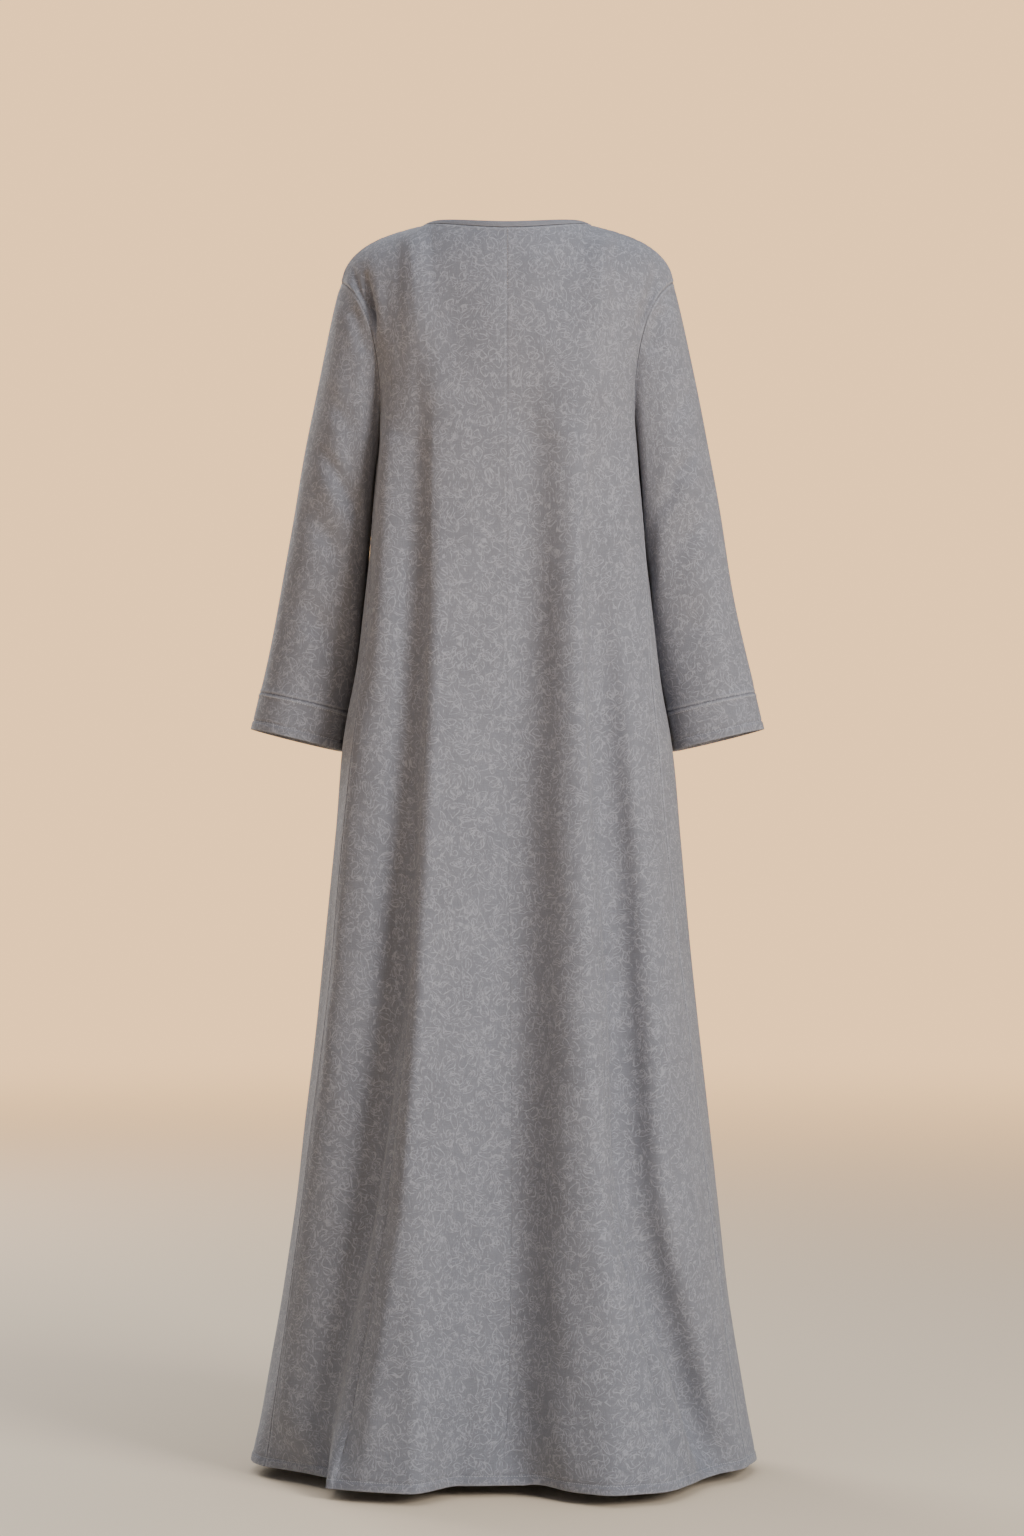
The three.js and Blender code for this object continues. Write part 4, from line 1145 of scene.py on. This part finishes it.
def line_at(value, half_width):
    """1 where a value is 0, fading to 0 at half a line's width."""
    return 1 - step_between(value.math("ABSOLUTE"), half_width * 0.35, half_width)


def noise(place, size, detail=2.0, rough=0.5):
    """Soft noise with spots of about this size in millimetres, from 0 to 1."""
    return outputs(place.tree, "ShaderNodeTexNoise", {"noise_dimensions": "2D"},
                   {"Vector": place, "Scale": 1 / size, "Detail": detail, "Roughness": rough})["Fac"]


# %% [markdown]
# ## The woven pattern
# The cloth is a smooth grey weave with a tone-on-tone design of fine lighter lines: leaves with a midrib,
# curled tendrils and wandering stems, each about a millimetre wide and one or two centimetres long. Each
# leaf and curl sits in its own cell with its own turn and size, so the design never repeats in rows.

# %% Pattern of leaves and curls
LINE = 0.75
CELL_JITTER = 0.85
SEED_SHIFT = (37.7, 91.3)
LEAF_RADIUS = 0.42
LEAF_RADIUS_CHANCE = 0.3
LEAF_OVERLAP = 0.62
RIB_WIDTH = 0.8
RIB_STRENGTH = 0.7
RIB_SHARE = (0.35, 0.4)
CURL_PITCH = 2.6
CURL_PITCH_CHANCE = 1.6
CURL_START = (1.0, 1.8)
CURL_END = (1.5, 1.7)
CURL_SHARE = (0.3, 0.35)
STEM_WIDTH = 0.55


def scattered(place, cell, seed):
    """A place's offset from the middle of its cell in millimetres, turned at random, and two chances."""
    moved = place.vector("ADD", (seed * SEED_SHIFT[0], seed * SEED_SHIFT[1], 0))[0]
    scaled = scaled_by(moved, 1 / cell)
    cells = outputs(place.tree, "ShaderNodeTexVoronoi", {"voronoi_dimensions": "2D"},
                    {"Vector": scaled, "Scale": 1.0, "Randomness": CELL_JITTER})
    offset = scaled.vector("SUBTRACT", cells["Position"])[0]
    parts = outputs(place.tree, "ShaderNodeSeparateXYZ", None, [offset])
    chance = outputs(place.tree, "ShaderNodeSeparateColor", None, [cells["Color"]])
    angle = chance["Red"] * (2 * math.pi)
    cosine, sine = angle.math("COSINE"), angle.math("SINE")
    x = (parts["X"] * cosine + parts["Y"] * sine) * cell
    y = (parts["Y"] * cosine - parts["X"] * sine) * cell
    return x, y, chance["Green"], chance["Blue"]


def leaf_lines(place, cell, seed):
    """Leaves drawn in outline: the edge of the shape where two circles overlap, and a shorter midrib."""
    x, y, size, kind = scattered(place, cell, seed)
    radius = size * (cell * LEAF_RADIUS_CHANCE) + cell * LEAF_RADIUS
    sideways = x.math("ABSOLUTE") + radius * LEAF_OVERLAP
    reach = (sideways * sideways + y * y).math("SQRT")
    outline = line_at(reach - radius, LINE)
    inside = step_between(radius - reach, 0.0, LINE)
    rib = line_at(x, LINE * RIB_WIDTH) * inside * step_between(kind, *RIB_SHARE)
    return outline.math("MAXIMUM", rib * RIB_STRENGTH)


def curl_lines(place, cell, seed):
    """Curled tendrils: a spiral line, kept between a smallest and a largest distance from its middle."""
    x, y, size, kind = scattered(place, cell, seed)
    reach = (x * x + y * y).math("SQRT")
    pitch = size * CURL_PITCH_CHANCE + CURL_PITCH
    turn = y.math("ARCTAN2", x) / (2 * math.pi)
    wave = (reach / pitch - turn).math("FRACT") - 0.5
    spiral = line_at(wave * pitch, LINE)
    past = step_between(reach, pitch * CURL_END[0], pitch * CURL_END[1])
    kept = step_between(reach, *CURL_START) * (1 - past)
    return spiral * kept * step_between(kind, *CURL_SHARE)


def stem_lines(place, size, levels):
    """Wandering stems: the level lines of soft noise."""
    level = (noise(place, size, detail=1.0) * levels).math("FRACT") - 0.5
    return line_at(level, LINE * levels / size * STEM_WIDTH)


# %% [markdown]
# ## The whole pattern
# All the lines are drawn on cloth whose places are shifted by soft noise, so that no leaf or curl is quite
# regular. Spots where the lines fade make them look printed and worn, and short strokes fill the ground.

# %% Pattern, faded and filled
SHIFT_SIZE = 21
SHIFT_REACH = 12
LEAF_CELLS = (21, 15)
SMALL_LEAF_STRENGTH = 0.85
CURL_CELL = 18
CURL_STRENGTH = 0.9
STEM_SIZE = 30
STEM_LEVELS = 5
STEM_STRENGTH = 0.8
FADE_SIZE = 6
FADED_STRENGTH = 0.2
STROKE_SIZE = 2.2
STROKE_SHORTNESS = 0.3
STROKE_STRENGTH = 0.75


def stretched(place, across, down):
    """The same places with both of their distances multiplied, so that noise on them is drawn out."""
    values = {"Vector": place, "Scale": (across, down, 1)}
    return outputs(place.tree, "ShaderNodeMapping", None, values)["Vector"]


def pattern_lines(place):
    """All the lines of the pattern, from 0 between them to 1 on them."""
    drift = outputs(place.tree, "ShaderNodeTexNoise", {"noise_dimensions": "2D"},
                    {"Vector": place, "Scale": 1 / SHIFT_SIZE, "Detail": 1.5})["Color"]
    low = -SHIFT_REACH / 2
    shift = drift.vector("MULTIPLY_ADD", (SHIFT_REACH, SHIFT_REACH, 0), (low, low, 0))[0]
    drawn = place.vector("ADD", shift)[0]
    lines = leaf_lines(drawn, LEAF_CELLS[0], 1)
    lines = lines.math("MAXIMUM", leaf_lines(drawn, LEAF_CELLS[1], 2) * SMALL_LEAF_STRENGTH)
    lines = lines.math("MAXIMUM", curl_lines(drawn, CURL_CELL, 3) * CURL_STRENGTH)
    stems = stem_lines(drawn, STEM_SIZE, STEM_LEVELS) * step_between(noise(place, 18), 0.46, 0.56)
    lines = lines.math("MAXIMUM", stems * STEM_STRENGTH)
    fresh = step_between(noise(place, FADE_SIZE, detail=3.0), 0.36, 0.62)
    lines = lines * (fresh * (1 - FADED_STRENGTH) + FADED_STRENGTH)
    strokes = noise(stretched(drawn, 1, STROKE_SHORTNESS), STROKE_SIZE, detail=1.0)
    strokes = step_between(strokes, 0.6, 0.68) * step_between(noise(place, 12), 0.45, 0.6)
    return lines.math("MAXIMUM", strokes * STROKE_STRENGTH)


# %% [markdown]
# ## The cloth
# The pattern lightens the ground a little. Fine grain, thicker threads in both directions and slow unevenness
# lie over it, worn edges are lighter, painted shade darkens the seams' lines, and the weave shows only in the
# bump.

# %% Material of the cloth
GROUND = (0.136, 0.142, 0.167)
LIGHTER = (0.325, 0.334, 0.376)
CLOTH_PATTERN = 1.1
BAND_PATTERN = 0.25
GRAIN_SIZE = 1.1
SLOW_SIZE = 70
SLUB_SIZE = 1.6
SLUB_ALONG = 0.16
SLUB_ACROSS = 1.3
THREAD_PITCH = 0.7
BUMP_STRENGTH = 0.35
BUMP_DEPTH = 0.00025
CLOTH_ROUGHNESS = 0.78


def new_material(name):
    """A material, its node tree and its main shader."""
    material = bpy.data.materials.new(name)
    material.use_nodes = True
    return material, material.node_tree, material.node_tree.nodes["Principled BSDF"]


def feed(shader, socket, value):
    value.tree.links.new(value.socket, shader.inputs[socket])


def cloth_material(name, pattern_strength):
    """The dress's cloth: ground and line colours, slow unevenness, grain, and a weave in its bump."""
    material, tree, shader = new_material(name)
    uv = outputs(tree, "ShaderNodeUVMap", {"uv_map": "cloth"})["UV"]
    place = scaled_by(uv, 1 / MM)
    lines = pattern_lines(place)
    grain = noise(place, GRAIN_SIZE, detail=2.0, rough=0.7) - 0.5
    slow = noise(place, SLOW_SIZE, detail=2.0) - 0.5
    slubs = noise(stretched(place, SLUB_ALONG, SLUB_ACROSS), SLUB_SIZE)
    slubs = slubs + noise(stretched(place, SLUB_ACROSS, SLUB_ALONG), SLUB_SIZE) - 1.0
    # edge: worn seam lips and hems are lighter, and painted shade darkens the seams' own lines
    edge = outputs(tree, "ShaderNodeAttribute", {"attribute_name": "edge"})["Fac"]
    amount = lines * pattern_strength + grain * 0.7 + slubs * 0.4 + slow * 0.35 + edge * 0.55
    feed(shader, "Base Color", mix_colour(step_between(amount, -0.75, 1.25), GROUND, LIGHTER))
    feed(shader, "Roughness", CLOTH_ROUGHNESS - lines * 0.12 + grain * 0.1)
    threads = outputs(tree, "ShaderNodeSeparateXYZ", None, [place])
    warp_thread = (threads["X"] * (2 * math.pi / THREAD_PITCH)).math("SINE")
    weft_thread = (threads["Y"] * (2 * math.pi / THREAD_PITCH)).math("SINE")
    height = warp_thread * weft_thread * 0.25 + grain * 0.9 + slubs * 0.9 + lines * 0.8
    bump = {"Height": height, "Strength": BUMP_STRENGTH, "Distance": BUMP_DEPTH}
    feed(shader, "Normal", outputs(tree, "ShaderNodeBump", None, bump)["Normal"])
    shader.inputs["Sheen Weight"].default_value = 0.18
    shader.inputs["Sheen Roughness"].default_value = 0.45
    shader.inputs["Specular IOR Level"].default_value = 0.3
    return material


cloth_finish = cloth_material("grey_patterned_cloth", CLOTH_PATTERN)
for piece in (back_left, back_right, front, sleeve_left, sleeve_right, cuff_left, cuff_right):
    piece.data.materials.append(cloth_finish)
band_finish = cloth_material("grey_band_cloth", BAND_PATTERN)
band.data.materials.append(band_finish)

# %% [markdown]
# ## The thread
# Sewing thread is twisted from finer ones, so its colour flickers along it. Very fine noise does that here.

# %% Material of the thread
THREAD_DARK = (0.34, 0.342, 0.36)
THREAD_LIGHT = (0.48, 0.482, 0.5)
TWIST_SCALE = 1800.0


def thread_material():
    """Matte grey thread with a fine twist, drawn by noise on the object's own places."""
    material, tree, shader = new_material("grey_thread")
    spot = outputs(tree, "ShaderNodeTexCoord")["Object"]
    values = {"Vector": spot, "Scale": TWIST_SCALE, "Detail": 1.0}
    twist = outputs(tree, "ShaderNodeTexNoise", None, values)["Fac"]
    feed(shader, "Base Color", mix_colour(twist, THREAD_DARK, THREAD_LIGHT))
    shader.inputs["Roughness"].default_value = 0.6
    return material


thread_finish = thread_material()
for line in [hem_stitches, band_stitches, *cuff_lines["left"], *cuff_lines["right"]]:
    line.data.materials.append(thread_finish)

# %% [markdown]
# ## Floor
# The floor is plain and pale, and far out it brightens into the background, as a studio's curved sweep does.

# %% Floor
FLOOR_Z = -1484
FLOOR_HALF = 9
FLOOR_NEAR = 1.5
FLOOR_FAR = 7
FLOOR_COLOUR = (0.95, 0.77, 0.56)
FLOOR_CORNERS = ((-1, -1), (1, -1), (1, 1), (-1, 1))
BACKGROUND = (1, 0.61, 0.29)
BACKGROUND_BRIGHTNESS = 1.9
floor_mesh = bpy.data.meshes.new("floor")
corners = [(x * FLOOR_HALF, y * FLOOR_HALF, FLOOR_Z * MM) for x, y in FLOOR_CORNERS]
floor_mesh.from_pydata(corners, [], [(0, 1, 2, 3)])
floor = bpy.data.objects.new("floor", floor_mesh)
bpy.context.collection.objects.link(floor)
floor_finish, floor_tree, floor_shader = new_material("pale_floor")
floor_shader.inputs["Base Color"].default_value = (*FLOOR_COLOUR, 1)
floor_shader.inputs["Roughness"].default_value = 0.7
spot = outputs(floor_tree, "ShaderNodeTexCoord")["Object"]
away = step_between(spot.vector("LENGTH")[1], FLOOR_NEAR, FLOOR_FAR)
glow = node(floor_tree, "ShaderNodeEmission", None, [(*BACKGROUND, 1), BACKGROUND_BRIGHTNESS])[0]
surface = Value(floor_tree, floor_shader.outputs["BSDF"])
floor_blend = node(floor_tree, "ShaderNodeMixShader", None, [away, surface, glow])[0]
feed(floor_tree.nodes["Material Output"], "Surface", floor_blend)
floor_mesh.materials.append(floor_finish)

# %% [markdown]
# ## Light
# Four soft lamps light the dress. The key lamp stands behind it and to the right of the camera, so that the
# folds of the back shade softly towards the left, and a weak one fills their shadows from the other side.
# One more lights the front and one shines from above. The surroundings give a little cool light, and the
# camera sees them in the background's colour.

# %% Lights and surroundings
DRESS_MIDDLE = (0, 0, -0.7)
WORLD_BRIGHTNESS = 0.17
WORLD_COLOUR = (0.66, 0.78, 1)


def area_light(name, place, target, size, power):
    """A soft rectangular lamp in metres and watts, turned to its target and hidden from the camera."""
    data = bpy.data.lights.new(name, "AREA")
    data.shape = "RECTANGLE"
    data.size, data.size_y = size
    data.energy = power
    light = bpy.data.objects.new(name, data)
    light.location = place
    light.rotation_euler = (Vector(target) - Vector(place)).to_track_quat("-Z", "Y").to_euler()
    light.visible_camera = False
    bpy.context.collection.objects.link(light)


area_light("key", (-2.7, 3.1, 0.7), DRESS_MIDDLE, (1.5, 2.0), 158)
area_light("fill", (2.6, 3.6, 0.2), DRESS_MIDDLE, (2.4, 2.4), 8)
area_light("front_key", (2.4, -3.2, 0.8), DRESS_MIDDLE, (1.8, 2.0), 90)
area_light("top", (0, 0.2, 3.2), (0, 0.2, 0), (5, 5), 110)
world = bpy.data.worlds.new("studio")
world.use_nodes = True
background = world.node_tree.nodes["Background"]
seen = outputs(world.node_tree, "ShaderNodeLightPath")["Is Camera Ray"]
feed(background, "Color", mix_colour(seen, WORLD_COLOUR, BACKGROUND))
feed(background, "Strength", seen * (BACKGROUND_BRIGHTNESS - WORLD_BRIGHTNESS) + WORLD_BRIGHTNESS)
bpy.context.scene.world = world
